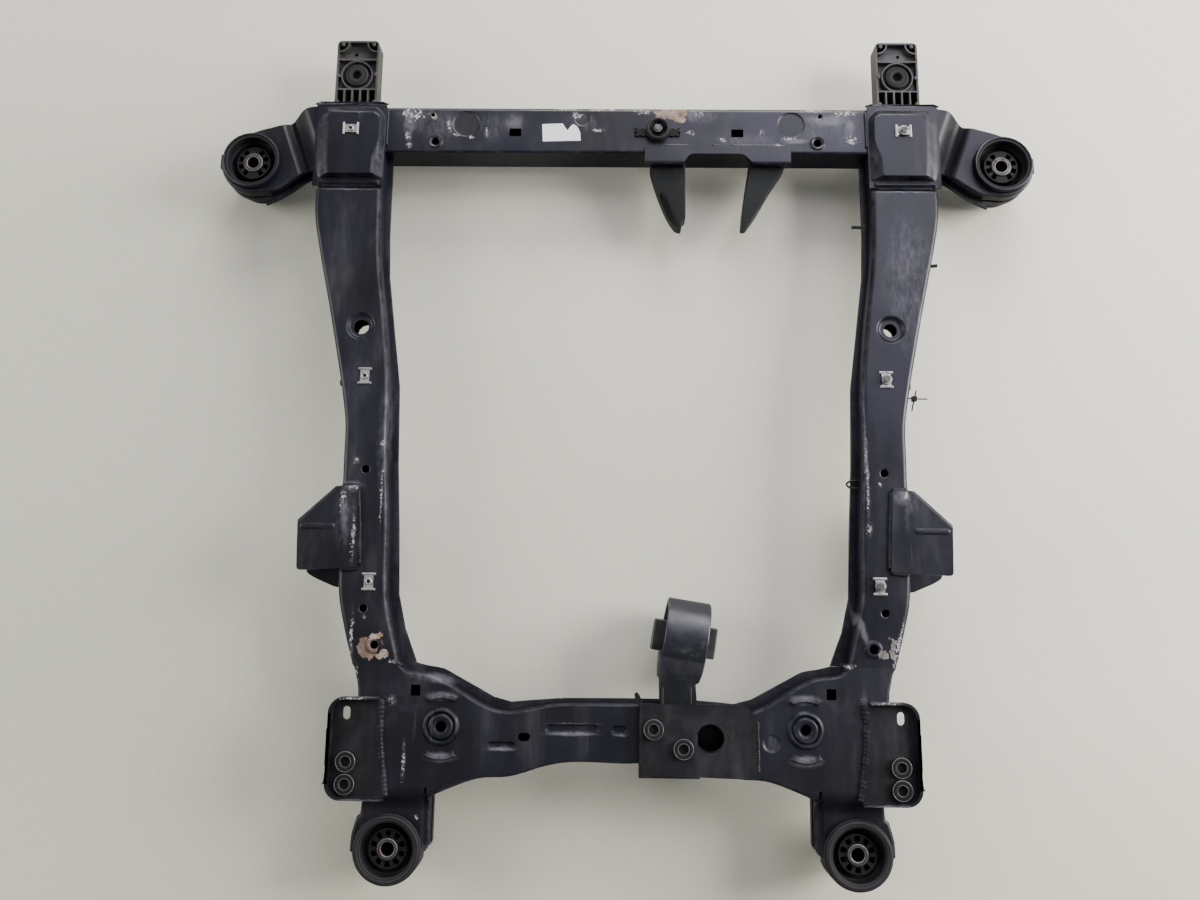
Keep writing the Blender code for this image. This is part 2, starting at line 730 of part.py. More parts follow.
def rear_sides(kind_foot, seam_foot, inset, fillet, steps):
    face = spline(REAR_FACE_EDGE, steps)
    rim = spline(REAR_FLANGE_EDGE, steps)
    face[0] = (face[0][0], face[0][1] - RAIL_TAIL_GAP / 2)
    rim[0] = (rim[0][0], rim[0][1] - RAIL_TAIL_GAP / 2)
    face = face + mirrored(face)[1:]
    rim = rim + mirrored(rim)[1:]
    bottom = rear_bottom(steps)
    bottom = offset_line([(-x, y) for x, y in bottom] + bottom[::-1][1:], inset)
    window = Side(face, "flange", seam_foot, fillet, rim)
    return [window, Side([face[-1], bottom[0]]), Side(bottom, "wall", kind_foot, fillet),
            Side([bottom[-1], face[0]])]


def rear_bends():
    y0, y1 = DIP_BEND_SPAN
    x0, x1 = LEG_BEND_SPAN
    made = [((s * x, y0), (s * x, y1)) for x in (DIP_INNER_X, DIP_OUTER_X) for s in (-1, 1)]
    made += [((s * x0, y), (s * x1, y)) for y in (LEG_BEND_Y, LEG_FLAT_Y) for s in (-1, 1)]
    return made


def crescent(x, y, middle):
    """Two loops of a raised arc round a boss: its foot and its crest."""
    made = []
    for trim in (0.0, CRESCENT_SLOPE):
        turn = CRESCENT_HALF_TURN * (1 - trim / CRESCENT_WIDTH * 0.5)
        half = CRESCENT_WIDTH / 2 - trim
        made.append(arc((x, y), CRESCENT_R + half, middle - turn, middle + turn, 4)
                    + arc((x, y), CRESCENT_R - half, middle + turn, middle - turn, 4))
    return [(made[0], 0.0), (made[1], CRESCENT_RISE)]


def make_rear_beam():
    rings, holes = [], []
    for s in (-1, 1):
        holes.append((circle(s * REAR_BUSH[0], REAR_BUSH[1], REAR_CAN_R + GAP, BUSH_STEPS), 0.0))
        holes.append((box_loop(s * REAR_SQUARE[0], REAR_SQUARE[1], REAR_SQUARE[2], REAR_SQUARE[3]), 0.0))
        x, y = s * REAR_BOSS[0], REAR_BOSS[1]
        rings += [(circle(x, y, radius, 10), rise) for radius, rise in REAR_BOSS_RINGS]
        rings += crescent(x, y, 90) + crescent(x, y, 270)
        holes.append((circle(x, y, REAR_BOSS_BORE_R, 8), DIMPLE_DEPTH))
    x, y, r = REAR_VIEW_HOLE
    holes.append((circle(x, y, r, 8), 0.0))
    x, y, r = CENTRE_HOLE
    holes.append((circle(x, y, r - 0.001, 12), 0.0))
    for x0, x1, y, half in REAR_BEADS:
        rings.append((capsule(x0, x1, y, half, 2), 0.0))
        rings.append((capsule(x0 + DIMPLE_SLOPE, x1 - DIMPLE_SLOPE, y, half - DIMPLE_SLOPE, 2), -BEAD_DEPTH))
    sides = rear_sides(RAIL_FACE - BOX_DEPTH, RAIL_FACE - FLANGE_DROP, 0.0, SMALL_FILLET, 1)
    piece = pressed("rear_beam_upper", PAINTED, sides, rear_level, rings, holes, rear_bends())
    c = LEG_SLOT_CLEAR
    foot0, foot1 = LEG_FOOT_X[0] - c, LEG_FOOT_X[1] + c
    neck0, neck1 = LEG_X[0] - c, LEG_X[1] + c
    rear, middle = LEG_FOOT_Y[0] - c, LEG_FOOT_Y[1] + c
    slot = [(foot0, rear), (foot1, rear), (foot1, middle), (neck1, middle), (neck1, LEG_SLOT_Y),
            (neck0, LEG_SLOT_Y), (neck0, middle), (foot0, middle)]
    cut(piece, prism_cutter("torque slot", slot, RAIL_FACE - FLANGE_DROP + 0.0005, RAIL_FACE + 0.01))
    return piece


def make_rear_floor():
    holes = [(circle(s * REAR_BUSH[0], REAR_BUSH[1], REAR_CAN_R + GAP, BUSH_STEPS), 0.0) for s in (-1, 1)]
    floor = RAIL_FACE - BOX_DEPTH
    sides = rear_sides(floor + LIP, RAIL_FACE - FLANGE_DROP - 2 * SHEET - GAP, SHEET + GAP, TRAY_FILLET, 1)
    return pressed("rear_beam_lower", PAINTED, sides, lambda x, y: floor, (), holes, (), up=-1)


def make_beam():
    end = BEAM_END_X
    front = [(end, BEAM_FRONT_Y), (-end, BEAM_FRONT_Y)]
    rear = [(-end, BEAM_REAR_Y), (end, BEAM_REAR_Y)]
    foot = BEAM_FACE - BEAM_DEPTH
    rings, holes = [], []
    for s in (-1, 1):
        x, y, w, h = SQUARE_BEAM
        holes.append((box_loop(s * x, y, w, h), 0.0))
        holes.append((circle(s * BEAM_PIN_HOLE[0], BEAM_PIN_HOLE[1], BEAM_PIN_HOLE[2], 6), 0.0))
        x, y, r = BEAM_BOSS_HOLE
        rings.append((circle(s * x, y, r + BEAM_BOSS_RIM, 8), 0.0))
        holes.append((circle(s * x, y, r, 8), BOSS_RISE))
        x, y, r = BEAM_DIMPLE
        rings.append((circle(s * x, y, r, 12), 0.0))
        rings.append((circle(s * x, y, r - DIMPLE_SLOPE, 12), -DIMPLE_DEPTH))
    x, y = ISOLATOR
    holes.append((box_loop(x, y - ISOLATOR_SLOT_SHIFT, *ISOLATOR_SLOT), 0.0))
    sides = [Side(front, "wall", foot), Side([front[1], rear[0]]), Side(rear, "wall", foot, BEAM_REAR_FILLET),
             Side([rear[1], front[0]])]
    return pressed("front_beam_upper", PAINTED, sides, lambda x, y: BEAM_FACE, rings, holes)


def make_beam_floor():
    end = BEAM_END_X
    shift = SHEET + GAP
    front = [(end, BEAM_FRONT_Y - shift), (-end, BEAM_FRONT_Y - shift)]
    rear = [(-end, BEAM_REAR_Y + shift), (end, BEAM_REAR_Y + shift)]
    floor = BEAM_FACE - BEAM_DEPTH
    sides = [Side(front, "wall", floor + LIP, SMALL_FILLET), Side([front[1], rear[0]]),
             Side(rear, "wall", floor + LIP, SMALL_FILLET), Side([rear[1], front[0]])]
    return pressed("front_beam_lower", PAINTED, sides, lambda x, y: floor, up=-1)


def arm_level(x, y):
    """Height of an arm's face, which falls into a valley beside the corner and rises to the bush's collar."""
    q = (x - ARM_BEND[0]) * cos(ARM_BEND_TURN) + (y - ARM_BEND[1]) * sin(ARM_BEND_TURN)
    if q <= ARM_STEPS[0][0]:
        return ARM_STEPS[0][1]
    for (q0, z0), (q1, z1) in zip(ARM_STEPS, ARM_STEPS[1:]):
        if q <= q1:
            return z0 + (z1 - z0) * (q - q0) / (q1 - q0)
    return ARM_COLLAR


def arm_bends():
    across = Vector((cos(ARM_BEND_TURN), sin(ARM_BEND_TURN)))
    reach = Vector((-across.y, across.x)) * ARM_BEND_HALF
    middles = [Vector(ARM_BEND) + across * q for q, _ in ARM_STEPS]
    return [(tuple(middle - reach), tuple(middle + reach)) for middle in middles]


def arm_sides(foot, fillet, nub):
    """An arm's outline: root, rear edge with its hem, round the bush, and front edge."""
    collar = FRONT_CAN_R + GAP + COLLAR_WALL
    front = [(ARM_ROOT_X, BEAM_FRONT_Y), *ARM_FRONT]
    rear = [(ARM_ROOT_X, ARM_ROOT_REAR_Y), *ARM_REAR[::-1]]
    hem = [(ARM_ROOT_X, ARM_ROOT_HEM_Y), *ARM_HEM[::-1]]
    start = degrees(atan2(rear[-1][1] - FRONT_BUSH[1], rear[-1][0] - FRONT_BUSH[0])) + COLLAR_TRIM[0]
    end = degrees(atan2(front[-1][1] - FRONT_BUSH[1], front[-1][0] - FRONT_BUSH[0])) - COLLAR_TRIM[1]
    nub0, nub1 = NUB_TURNS
    lower = arc(FRONT_BUSH, collar, start, nub0, 4)
    outer = arc(FRONT_BUSH, collar, nub0, nub1, 2)
    upper = arc(FRONT_BUSH, collar, nub1, end, 3)
    sides = [Side(rear, "flange", foot, fillet, hem), Side([rear[-1]] + lower, "wall", foot, fillet)]
    if nub:
        reach = FRONT_BUSH[0] + NUB_REACH
        middle = FRONT_BUSH[1] + NUB_SHIFT
        tab = [(reach, middle - NUB_HALF), (reach, middle), (reach, middle + NUB_HALF)]
        sides.append(Side(outer, "flange", foot, fillet, tab))
    else:
        sides.append(Side(outer, "wall", foot, fillet))
    sides.append(Side(upper + [front[-1]], "wall", foot, fillet))
    sides.append(Side(front[::-1], "wall", foot, fillet))
    sides.append(Side([front[0], rear[0]]))
    return sides


def make_arm(name, mirror):
    holes = [(circle(FRONT_BUSH[0], FRONT_BUSH[1], FRONT_CAN_R + GAP, BUSH_STEPS), 0.0)]
    sides = arm_sides(ARM_SEAM, ARM_FILLET, False)
    return pressed("front_arm_upper_" + name, PAINTED, sides, arm_level, (), holes, arm_bends(),
                   mirror=mirror)


def make_arm_floor(name, mirror):
    holes = [(circle(FRONT_BUSH[0], FRONT_BUSH[1], FRONT_CAN_R + GAP, BUSH_STEPS), 0.0)]
    sides = arm_sides(ARM_SEAM - SHEET * 2 - GAP, ARM_FILLET, True)
    return pressed("front_arm_lower_" + name, PAINTED, sides, lambda x, y: ARM_FLOOR, (), holes, (), up=-1,
                   mirror=mirror)


def make_saddle(name, mirror):
    """A panel with a raised crown and a bead behind it, over the joint of crossmember, rail and arm."""
    level = BEAM_FACE + GAP + SHEET
    x0, x1, c, e = SADDLE_INNER_X, SADDLE_OUTER_X, SADDLE_CORNER, SADDLE_EDGE
    rear, front = SADDLE_REAR_Y, SADDLE_FRONT_Y + SHEET
    outer = [(x1, rear), (x1, front - c), (x1 - c, front)]
    inner = [(x0 + c, front), (x0, front - c), (x0, rear)]
    strip = rear + SADDLE_STRIP
    foot = strip + SADDLE_GROOVE
    base = [(x0 + e, foot), (x1 - c, foot), (x1 - c, front - 2 * c), (x1 - 2 * c, front - c),
            (x0 + 2 * c, front - c), (x0 + e, front - 3 * c)]
    bead = []
    for inset in (e, e + SADDLE_STRIP_SLOPE):
        a, b = x0 + SADDLE_SHOULDER + inset, x1 - SADDLE_SHOULDER - inset
        bead.append([(a, rear + inset), (b, rear + inset), (b, strip - inset), (a, strip - inset)])
    rings = [(base, 0.0), (SADDLE_CROWN, SADDLE_RISE), (bead[0], 0.0), (bead[1], SADDLE_STRIP_RISE)]
    sides = [Side([inner[-1], outer[0]]), Side(outer),
             Side([outer[-1], inner[0]], "wall", level - SADDLE_APRON, SMALL_FILLET), Side(inner)]
    return pressed("corner_saddle_" + name, PAINTED, sides, lambda x, y: level, rings, mirror=mirror)


# Bushes

def bush(name, place, can_r, can_foot, can_top, sleeve_r, sleeve_top, rim_r, left_out):
    """A steel can, a rubber body with voids and a recessed face, and an inner sleeve."""
    x, y = place
    inner = can_r - CAN_WALL
    can = [(can_r, can_top), (can_r, can_foot), (inner, can_foot), (inner, can_top)]
    turned("bush_can_" + name, PAINTED, can, BUSH_STEPS, (x, y, 0))
    out = inner - GAP
    hub = sleeve_r + GAP
    low = can_foot + 0.004
    face = sleeve_top - HUB_STEP
    groove = face - GROOVE_DEPTH
    hub_plate = [(hub, low), (hub, face), (HUB_R, face), (HUB_R + GROOVE_SLOPE, groove)]
    if rim_r > can_r:
        foot = can_top + GAP
        crest = foot + RIM_HEIGHT
        profile = [(rim_r, crest - RIM_CHAMFER), (rim_r, foot), (out, foot), (out, low), *hub_plate,
                   (REAR_RECESS_R - GROOVE_SLOPE, groove), (REAR_RECESS_R, crest),
                   (rim_r - RIM_CHAMFER, crest)]
    else:
        profile = [(out, can_top), (out, low), *hub_plate, (FRONT_RECESS_R - GROOVE_SLOPE, groove),
                   (FRONT_RECESS_R, can_top)]
    rubber = turned("bush_rubber_" + name, RUBBERS, profile, BUSH_STEPS, (x, y, 0))
    ring = sleeve_r + VOID_REACH
    voids = []
    for k in range(VOID_COUNT):
        if k not in left_out:
            a = 2 * pi * (k + 0.5) / VOID_COUNT
            w, d = VOID_SIZE[0] / 2, VOID_SIZE[1] / 2
            voids.append([(x + (ring + u) * cos(a) - v * sin(a), y + (ring + u) * sin(a) + v * cos(a))
                          for u, v in ((-d, VOID_TAPER - w), (d, -w), (d, w), (-d, w - VOID_TAPER))])
    top = can_top + RIM_HEIGHT + 0.005

    def build(work):
        for loop in voids:
            base = work.faces.new([work.verts.new((px, py, top - VOID_DEPTH)) for px, py in loop])
            grown = bmesh.ops.extrude_face_region(work, geom=[base], use_keep_orig=True)
            moved = [v for v in grown["geom"] if isinstance(v, bmesh.types.BMVert)]
            bmesh.ops.translate(work, verts=moved, vec=(0, 0, VOID_DEPTH))
        bmesh.ops.recalc_face_normals(work, faces=work.faces)
    cut(rubber, add_cutter("voids " + name, mesh_of(build)))
    turned("bush_sleeve_" + name, STEELS, [(sleeve_r, sleeve_top), (sleeve_r, 0.0), (BORE_R, 0.0),
                                           (BORE_R, sleeve_top)], SLEEVE_STEPS, (x, y, 0))


def make_bushes():
    for name, s in (("left", -1), ("right", 1)):
        bush("front_" + name, (s * FRONT_BUSH[0], FRONT_BUSH[1]), FRONT_CAN_R, CAN_FOOT,
             ARM_COLLAR + CAN_PROUD, SLEEVE_R, FRONT_SLEEVE_TOP, 0.0, FRONT_VOIDS_LEFT_OUT)
        bush("rear_" + name, (s * REAR_BUSH[0], REAR_BUSH[1]), REAR_CAN_R, CAN_FOOT + REAR_CAN_RISE,
             RAIL_FACE - LEG_DROP + LEG_TOP_CLEAR, REAR_SLEEVE_R, REAR_SLEEVE_TOP, REAR_RIM_R, ())


# Brackets

def make_arm_bracket(name, mirror):
    top = RAIL_FACE + GAP + PLATE
    plate = list(ARM_PLATE)
    sides = [Side(plate[0:3]), Side(plate[2:4]), Side(plate[3:5]),
             Side([plate[4], plate[5]], "wall", top - ARM_PLATE_APRON, PLATE_FILLET),
             Side([plate[5], plate[0]])]
    pressed("arm_bracket_upper_" + name, PAINTED, sides, lambda x, y: top, thickness=PLATE, mirror=mirror)
    foot = RAIL_FACE - BOX_DEPTH - GAP - PLATE
    slab("arm_bracket_lower_" + name, PAINTED, ARM_LOWER_PLATE, foot, PLATE, mirror)


def make_rear_plate(name, mirror):
    top = RAIL_FACE + GAP + PLATE
    x0, x1 = REAR_PLATE_X
    y0, y1 = REAR_PLATE_Y
    r = REAR_PLATE_CORNER
    lower = [(x0 - REAR_PLATE_TAPER, y0)] + arc((x1 - r, y0 + r), r, -90, 0, 4)
    outer = [(x1, y0 + r), (x1, y1 - r)]
    upper = arc((x1 - r, y1 - r), r, 0, 90, 4) + [(x0, y1)]
    sides = [Side(lower, "wall", top + REAR_PLATE_LIP, SMALL_FILLET), Side(outer),
             Side(upper, "wall", top + REAR_PLATE_LIP, SMALL_FILLET), Side([upper[-1], lower[0]])]
    sx, sy, sw, sh = REAR_PLATE_SLOT
    holes = [(capsule(sx - sh / 2, sx + sh / 2, sy, sw / 2, 3), 0.0)]
    holes += [(circle(x, y, NUT_BORE_R, 8), 0.0) for x, y in REAR_NUTS]
    pressed("rear_plate_" + name, PAINTED, sides, lambda x, y: top - PLATE, (), holes, (), up=-1,
            thickness=PLATE, mirror=mirror)
    for number, (x, y) in enumerate(REAR_NUTS, 1):
        s = -1 if mirror else 1
        nut("weld_nut_%s_%d" % (name, number), s * x, y, top + GAP)


def nut(name, x, y, foot):
    turned(name, PAINTED, [(NUT_R - NUT_CHAMFER, NUT_HEIGHT), (NUT_R, 0.0), (NUT_BORE_R, 0.0),
                           (NUT_BORE_R, NUT_HEIGHT)], NUT_STEPS, (x, y, foot))


def make_centre_plate():
    top = RAIL_FACE + GAP + PLATE
    x0, x1 = CENTRE_PLATE_X
    y0, y1 = CENTRE_PLATE_Y
    r = CENTRE_PLATE_CORNER
    face = RAIL_FACE - CENTRE_DIP
    hem = [(x0, y0), (DIP_INNER_X - 0.002, y0)]
    sides = [Side(hem, "wall", top - CENTRE_PLATE_WALL, PLATE_FILLET), Side([hem[1], (x1, y0)]),
             Side([(x1, y0), (x1, y1 - r)]), Side(arc((x1 - r, y1 - r), r, 0, 90, 4)),
             Side([(x1 - r, y1), (x0, y1)]),
             Side([(x0, y1), (x0, y0)], "wall", face + GAP, PLATE_FILLET)]
    hx, hy, hr = CENTRE_HOLE
    holes = [(circle(hx, hy, hr, 14), 0.0)] + [(circle(x, y, NUT_BORE_R, 8), 0.0) for x, y in CENTRE_NUTS]
    pressed("centre_plate", PAINTED, sides, lambda x, y: top, (), holes, (), thickness=PLATE)
    for number, (x, y) in enumerate(CENTRE_NUTS, 1):
        nut("torque_nut_%d" % number, x, y, top + GAP)


def cylinder(work, radius, depth, steps):
    bmesh.ops.create_cone(work, cap_ends=True, cap_tris=True, segments=steps, radius1=radius, radius2=radius,
                          depth=depth)


def bar(work, size):
    bmesh.ops.create_cube(work, size=1.0, matrix=Matrix.Diagonal((*size, 1.0)))


def set_in_ring(piece, along=True):
    """Puts a piece in the torque ring, with its own Z along the ring's axis or its own X along it."""
    piece.location = (*RING_CENTRE, RING_FOOT + RING_R)
    piece.rotation_euler = (0, pi / 2, RING_TURN) if along else (0, 0, RING_TURN)
    return piece


def make_torque_mount():
    """The torque mount: a cast ring on its side with a foot under the centre plate, its rubber and core."""
    top = RAIL_FACE + GAP - LEG_TOP_CLEAR
    foot = top - LEG_THICKNESS
    housing = set_in_ring(add_object("torque_housing", mesh_of(
        lambda work: cylinder(work, RING_R, RING_WIDTH, RING_STEPS)), CASTINGS))
    outline = [(LEG_X[0], RING_CENTRE[1]), (LEG_X[0], LEG_FOOT_Y[1]), (LEG_FOOT_X[0], LEG_FOOT_Y[1]),
               (LEG_FOOT_X[0], LEG_FOOT_Y[0]), (LEG_FOOT_X[1], LEG_FOOT_Y[0]), (LEG_FOOT_X[1], LEG_FOOT_Y[1]),
               (LEG_X[1], LEG_FOOT_Y[1]), (LEG_X[1], RING_CENTRE[1])]
    bolts = [circle(x, y, NUT_BORE_R, 8) for x, y in CENTRE_NUTS]
    cut(housing, prism_cutter("torque leg", outline, foot, top, False, bolts), 'UNION')
    cut(housing, set_in_ring(add_cutter("torque bore", mesh_of(
        lambda work: cylinder(work, RING_BORE_R, RING_WIDTH * 2, RING_STEPS)))))
    rubber = set_in_ring(add_object("torque_rubber", mesh_of(
        lambda work: cylinder(work, RING_BORE_R - GAP, RING_WIDTH - 2 * RUBBER_INSET, RING_STEPS)), RUBBERS))
    hole = (RING_WIDTH * 2, CORE_SIZE[1] + 2 * GAP, CORE_SIZE[2] + 2 * GAP)
    cut(rubber, set_in_ring(add_cutter("core seat", mesh_of(lambda work: bar(work, hole))), False))
    core = set_in_ring(add_object("torque_core", mesh_of(lambda work: bar(work, CORE_SIZE)), STEELS), False)
    cut(core, set_in_ring(add_cutter("core bore", mesh_of(
        lambda work: cylinder(work, CORE_BORE_R, CORE_SIZE[0] * 1.5, 12)))))


def make_horns():
    level = BEAM_FACE + GAP + SHEET
    x0, x1 = HORN_PLATE_X
    y0, y1 = HORN_PLATE_Y
    a0, a1 = HORN_ARCH_X
    r = HORN_ARCH_R
    left = [(x0, y0), (a0, y0)]
    arch = arc((a0 + r, HORN_ARCH_Y - r), r, 180, 90, 3) + arc((a1 - r, HORN_ARCH_Y - r), r, 90, 0, 3)
    right = [(a1, y0), (x1, y0)]
    apron = level - HORN_APRON
    sides = [Side(left, "wall", apron, SMALL_FILLET), Side([left[1]] + arch + [right[0]]),
             Side(right, "wall", apron, SMALL_FILLET), Side([right[1], (x1, y1)]), Side([(x1, y1), (x0, y1)]),
             Side([(x0, y1), left[0]])]
    pressed("engine_bracket", PAINTED, sides, lambda x, y: level)
    top = apron - GAP
    for name, points in (("left", HORN_LEFT), ("right", HORN_RIGHT)):
        line = [(x, min(y, RAIL_ROOT_Y)) for x, y in points]
        sides = [Side(line, "wall", top - HORN_DEPTH, SMALL_FILLET), Side([line[-1], line[0]])]
        pressed("horn_" + name, PAINTED, sides, lambda x, y: top)


def support_pockets(x0, x1, y0):
    """Pockets of a radiator support: deep bays, corner pockets with curved ribs, and shallow fields."""
    left, right = x0 + SUPPORT_WALL, x1 - SUPPORT_WALL
    front = SUPPORT_TIP_Y - SUPPORT_WALL
    collar = SUPPORT_BUSH_R + SUPPORT_COLLAR
    band = SUPPORT_BUSH_Y - SUPPORT_BUSH_R - SUPPORT_RIB
    pitch = (right - left + SUPPORT_RIB) / SUPPORT_BAYS
    root = y0 + SUPPORT_WALL
    width, length = pitch - SUPPORT_RIB, band - root
    middles = [left + pitch * k + width / 2 for k in range(SUPPORT_BAYS)]
    bays = [box_loop(x, root + length / 2, width, length) for x in middles]
    r = SUPPORT_POCKET_R
    corners = [[(left, front)] + arc((left, front), r, -90, 0, 4),
               [(right, front)] + arc((right, front), r, 180, 270, 4)]
    outer = r + SUPPORT_RIB
    cross0, cross1 = SUPPORT_CROSS_Y
    brow = [(left, cross1), (right, cross1)] + arc((right, front), outer, 270, 180, 4)
    brow += arc((left, front), outer, 0, -90, 4)
    turn = degrees(asin((cross0 - SUPPORT_BUSH_Y) / collar))
    low_turn = degrees(asin((SUPPORT_BUSH_Y - band - SUPPORT_RIB) / collar))
    middle = (SUPPORT_X, SUPPORT_BUSH_Y)
    foot = band + SUPPORT_RIB
    cheeks = [[(left, foot)] + arc(middle, collar, 180 + low_turn, 180 - turn, 4) + [(left, cross0)],
              [(right, cross0)] + arc(middle, collar, turn, -low_turn, 4) + [(right, foot)]]
    return bays + corners, [brow] + cheeks


def make_support(name, mirror):
    """A cast radiator support: a ribbed tongue with a rubber isolator, on the front of the crossmember."""
    s = -1 if mirror else 1
    x0, x1 = SUPPORT_X - SUPPORT_HALF, SUPPORT_X + SUPPORT_HALF
    y0 = SADDLE_FRONT_Y + SHEET + GAP
    top = SUPPORT_TOP
    low = top - SUPPORT_HEIGHT
    c = SUPPORT_CORNER
    outline = [(x0, y0), (x1, y0), (x1, SUPPORT_TIP_Y - c), (x1 - c, SUPPORT_TIP_Y),
               (x0 + c, SUPPORT_TIP_Y), (x0, SUPPORT_TIP_Y - c)]
    body = slab("radiator_support_" + name, CASTINGS, outline, low, SUPPORT_HEIGHT, mirror)
    deep, shallow = support_pockets(x0, x1, y0)

    def build(work):
        for floor, loops in ((low + SUPPORT_FLOOR, deep), (top - SUPPORT_TRAY, shallow)):
            for loop in loops:
                base = work.faces.new([work.verts.new((s * px, py, floor)) for px, py in loop])
                grown = bmesh.ops.extrude_face_region(work, geom=[base], use_keep_orig=True)
                moved = [v for v in grown["geom"] if isinstance(v, bmesh.types.BMVert)]
                bmesh.ops.translate(work, verts=moved, vec=(0, 0, SUPPORT_HEIGHT))
        bmesh.ops.recalc_face_normals(work, faces=work.faces)
    cut(body, add_cutter("support pockets " + name, mesh_of(build)))
    seat = circle(s * SUPPORT_X, SUPPORT_BUSH_Y, SUPPORT_BUSH_R + GAP, 14)
    cut(body, prism_cutter("support seat " + name, seat, low - 0.01, top + 0.01))
    shoulder, crest = top - SUPPORT_CAP_DROP, top + SUPPORT_CAP_PROUD
    turned("support_isolator_" + name, RUBBERS,
           [(SUPPORT_BUSH_R, shoulder), (SUPPORT_BUSH_R, low), (SUPPORT_BORE_R, low), (SUPPORT_BORE_R, crest),
            (SUPPORT_CAP_R, crest), (SUPPORT_CAP_R, shoulder)], 14, (s * SUPPORT_X, SUPPORT_BUSH_Y, 0))


def clip_level(x, y):
    if y > SADDLE_REAR_Y:
        return BEAM_FACE + GAP + SHEET + SADDLE_RISE
    return rail_level(x, y)


def make_clips():
    """Spring nuts clipped over the edges of square holes, and the screws left in those on the right."""
    for label, x, y, turn in CLIPS:
        for name, s in (("left", -1), ("right", 1)):
            length, bar, waist, width = CLIP_LENGTH / 2, CLIP_BAR / 2, CLIP_WAIST / 2, CLIP_BAR_WIDTH
            right = length - width
            shape = [(-length, -bar), (-right, -bar), (-right, -waist), (right, -waist), (right, -bar),
                     (length, -bar), (length, bar), (right, bar), (right, waist), (-right, waist),
                     (-right, bar), (-length, bar)]
            level = clip_level(x, y)
            slope = 0.0
            if RAIL_LEVEL_Y < y < RAIL_STEP_Y:
                slope = atan2(RAIL_FACE - RAIL_FRONT_FACE, RAIL_STEP_Y - RAIL_STEP_RUN - RAIL_LEVEL_Y)
            piece = slab("%s_%s" % (label, name), ZINCS, shape, 0.0, CLIP_SHEET)
            piece.location = (s * x, y, level + CLIP_CLEAR)
            piece.rotation_euler = (0, slope, turn)
            if s > 0:
                head = slab("screw_" + label[5:], STEELS, circle(0, 0, SCREW_HEAD_R, 6), 0.0, SCREW_HEAD)
                head.location = (s * x, y, level + CLIP_CLEAR + CLIP_SHEET + GAP)
                head.rotation_euler = piece.rotation_euler


def make_isolator():
    """The rubber isolator on the crossmember, with its nut: its upper edge slopes down to the nut."""
    x, y = ISOLATOR
    foot = BEAM_FACE + GAP
    bore = STUD_NUT_R + GAP * 2
    profile = [(ISOLATOR_R, foot + 0.009), (ISOLATOR_R, foot), (bore, foot), (bore, foot + 0.004),
               (ISOLATOR_CHAMFER_R, foot + 0.010)]
    turned("stud_isolator", RUBBERS, profile, 14, (x, y, 0))
    slab("stud_nut", STEELS, circle(x, y, STUD_NUT_R, 6), foot, 0.010, False, [circle(x, y, STUD_BORE_R, 6)])


def build_model():
    make_beam()
    make_beam_floor()
    for name, mirror in (("left", True), ("right", False)):
        make_rail(name, mirror)
        make_rail_floor(name, mirror)
        make_arm(name, mirror)
        make_arm_floor(name, mirror)
        make_saddle(name, mirror)
        make_arm_bracket(name, mirror)
        make_rear_plate(name, mirror)
        make_support(name, mirror)
    make_rear_beam()
    make_rear_floor()
    make_bushes()
    make_centre_plate()
    make_torque_mount()
    make_horns()
    make_clips()
    make_isolator()


clear_scene()
PARTS = collection("subframe")
CUTTERS = collection("cutters")
PAINTED = material("black paint", PAINT, 0.0, 0.35)
RUBBERS = material("rubber", RUBBER, 0.0, 0.7)
STEELS = material("worn steel", STEEL, 0.9, 0.5)
ZINCS = material("zinc plate", ZINC, 0.9, 0.4)
CASTINGS = material("black casting", CASTING, 0.0, 0.45)
CRADLE = bpy.data.objects.new("cradle", None)
PARTS.objects.link(CRADLE)
CRADLE.location = (0, -CENTRE_Y, 0)
build_model()
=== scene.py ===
"""Looks of the front subframe: pressed shells, welds, worn paint, rubber, castings, clips and a label.

Outlines are in metres in the frame of the car part, +Y to its front; SHIFT brings them into the row frame.
"""

from math import asin, atan2, cos, pi, radians, sin, sqrt, tau

import bmesh
import bpy
from mathutils import Matrix, Vector, noise
from mathutils.geometry import delaunay_2d_cdt


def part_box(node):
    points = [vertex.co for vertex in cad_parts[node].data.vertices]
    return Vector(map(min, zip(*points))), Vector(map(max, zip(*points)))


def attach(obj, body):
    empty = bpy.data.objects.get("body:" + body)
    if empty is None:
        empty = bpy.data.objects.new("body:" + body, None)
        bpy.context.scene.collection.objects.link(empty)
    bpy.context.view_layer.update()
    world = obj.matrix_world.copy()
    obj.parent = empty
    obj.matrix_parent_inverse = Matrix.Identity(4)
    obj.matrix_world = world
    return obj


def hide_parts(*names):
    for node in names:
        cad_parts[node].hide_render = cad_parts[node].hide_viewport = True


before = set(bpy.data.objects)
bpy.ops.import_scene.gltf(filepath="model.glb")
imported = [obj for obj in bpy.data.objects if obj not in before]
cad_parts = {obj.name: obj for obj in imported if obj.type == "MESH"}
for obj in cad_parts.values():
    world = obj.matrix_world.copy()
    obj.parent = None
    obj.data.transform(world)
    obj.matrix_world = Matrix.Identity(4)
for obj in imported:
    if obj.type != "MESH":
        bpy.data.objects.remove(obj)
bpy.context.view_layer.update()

# Sheets and clearances
GAP = 0.0003
SHEET = 0.0025
PLATE = 0.0035
FILLET = 0.006
SMALL_FILLET = 0.004
ROUNDS = 5

# Heights of the pressed faces above the floor
BEAM_FACE = 0.072
BEAM_DEPTH = 0.043
RAIL_FRONT_FACE = 0.078
RAIL_FACE = 0.09
BOX_DEPTH = 0.038
FLANGE_DROP = 0.028
CENTRE_DIP = 0.008
LEG_DROP = 0.012

FRONT_BUSH = (0.5, 0.391)
REAR_BUSH = (0.274, -0.475)

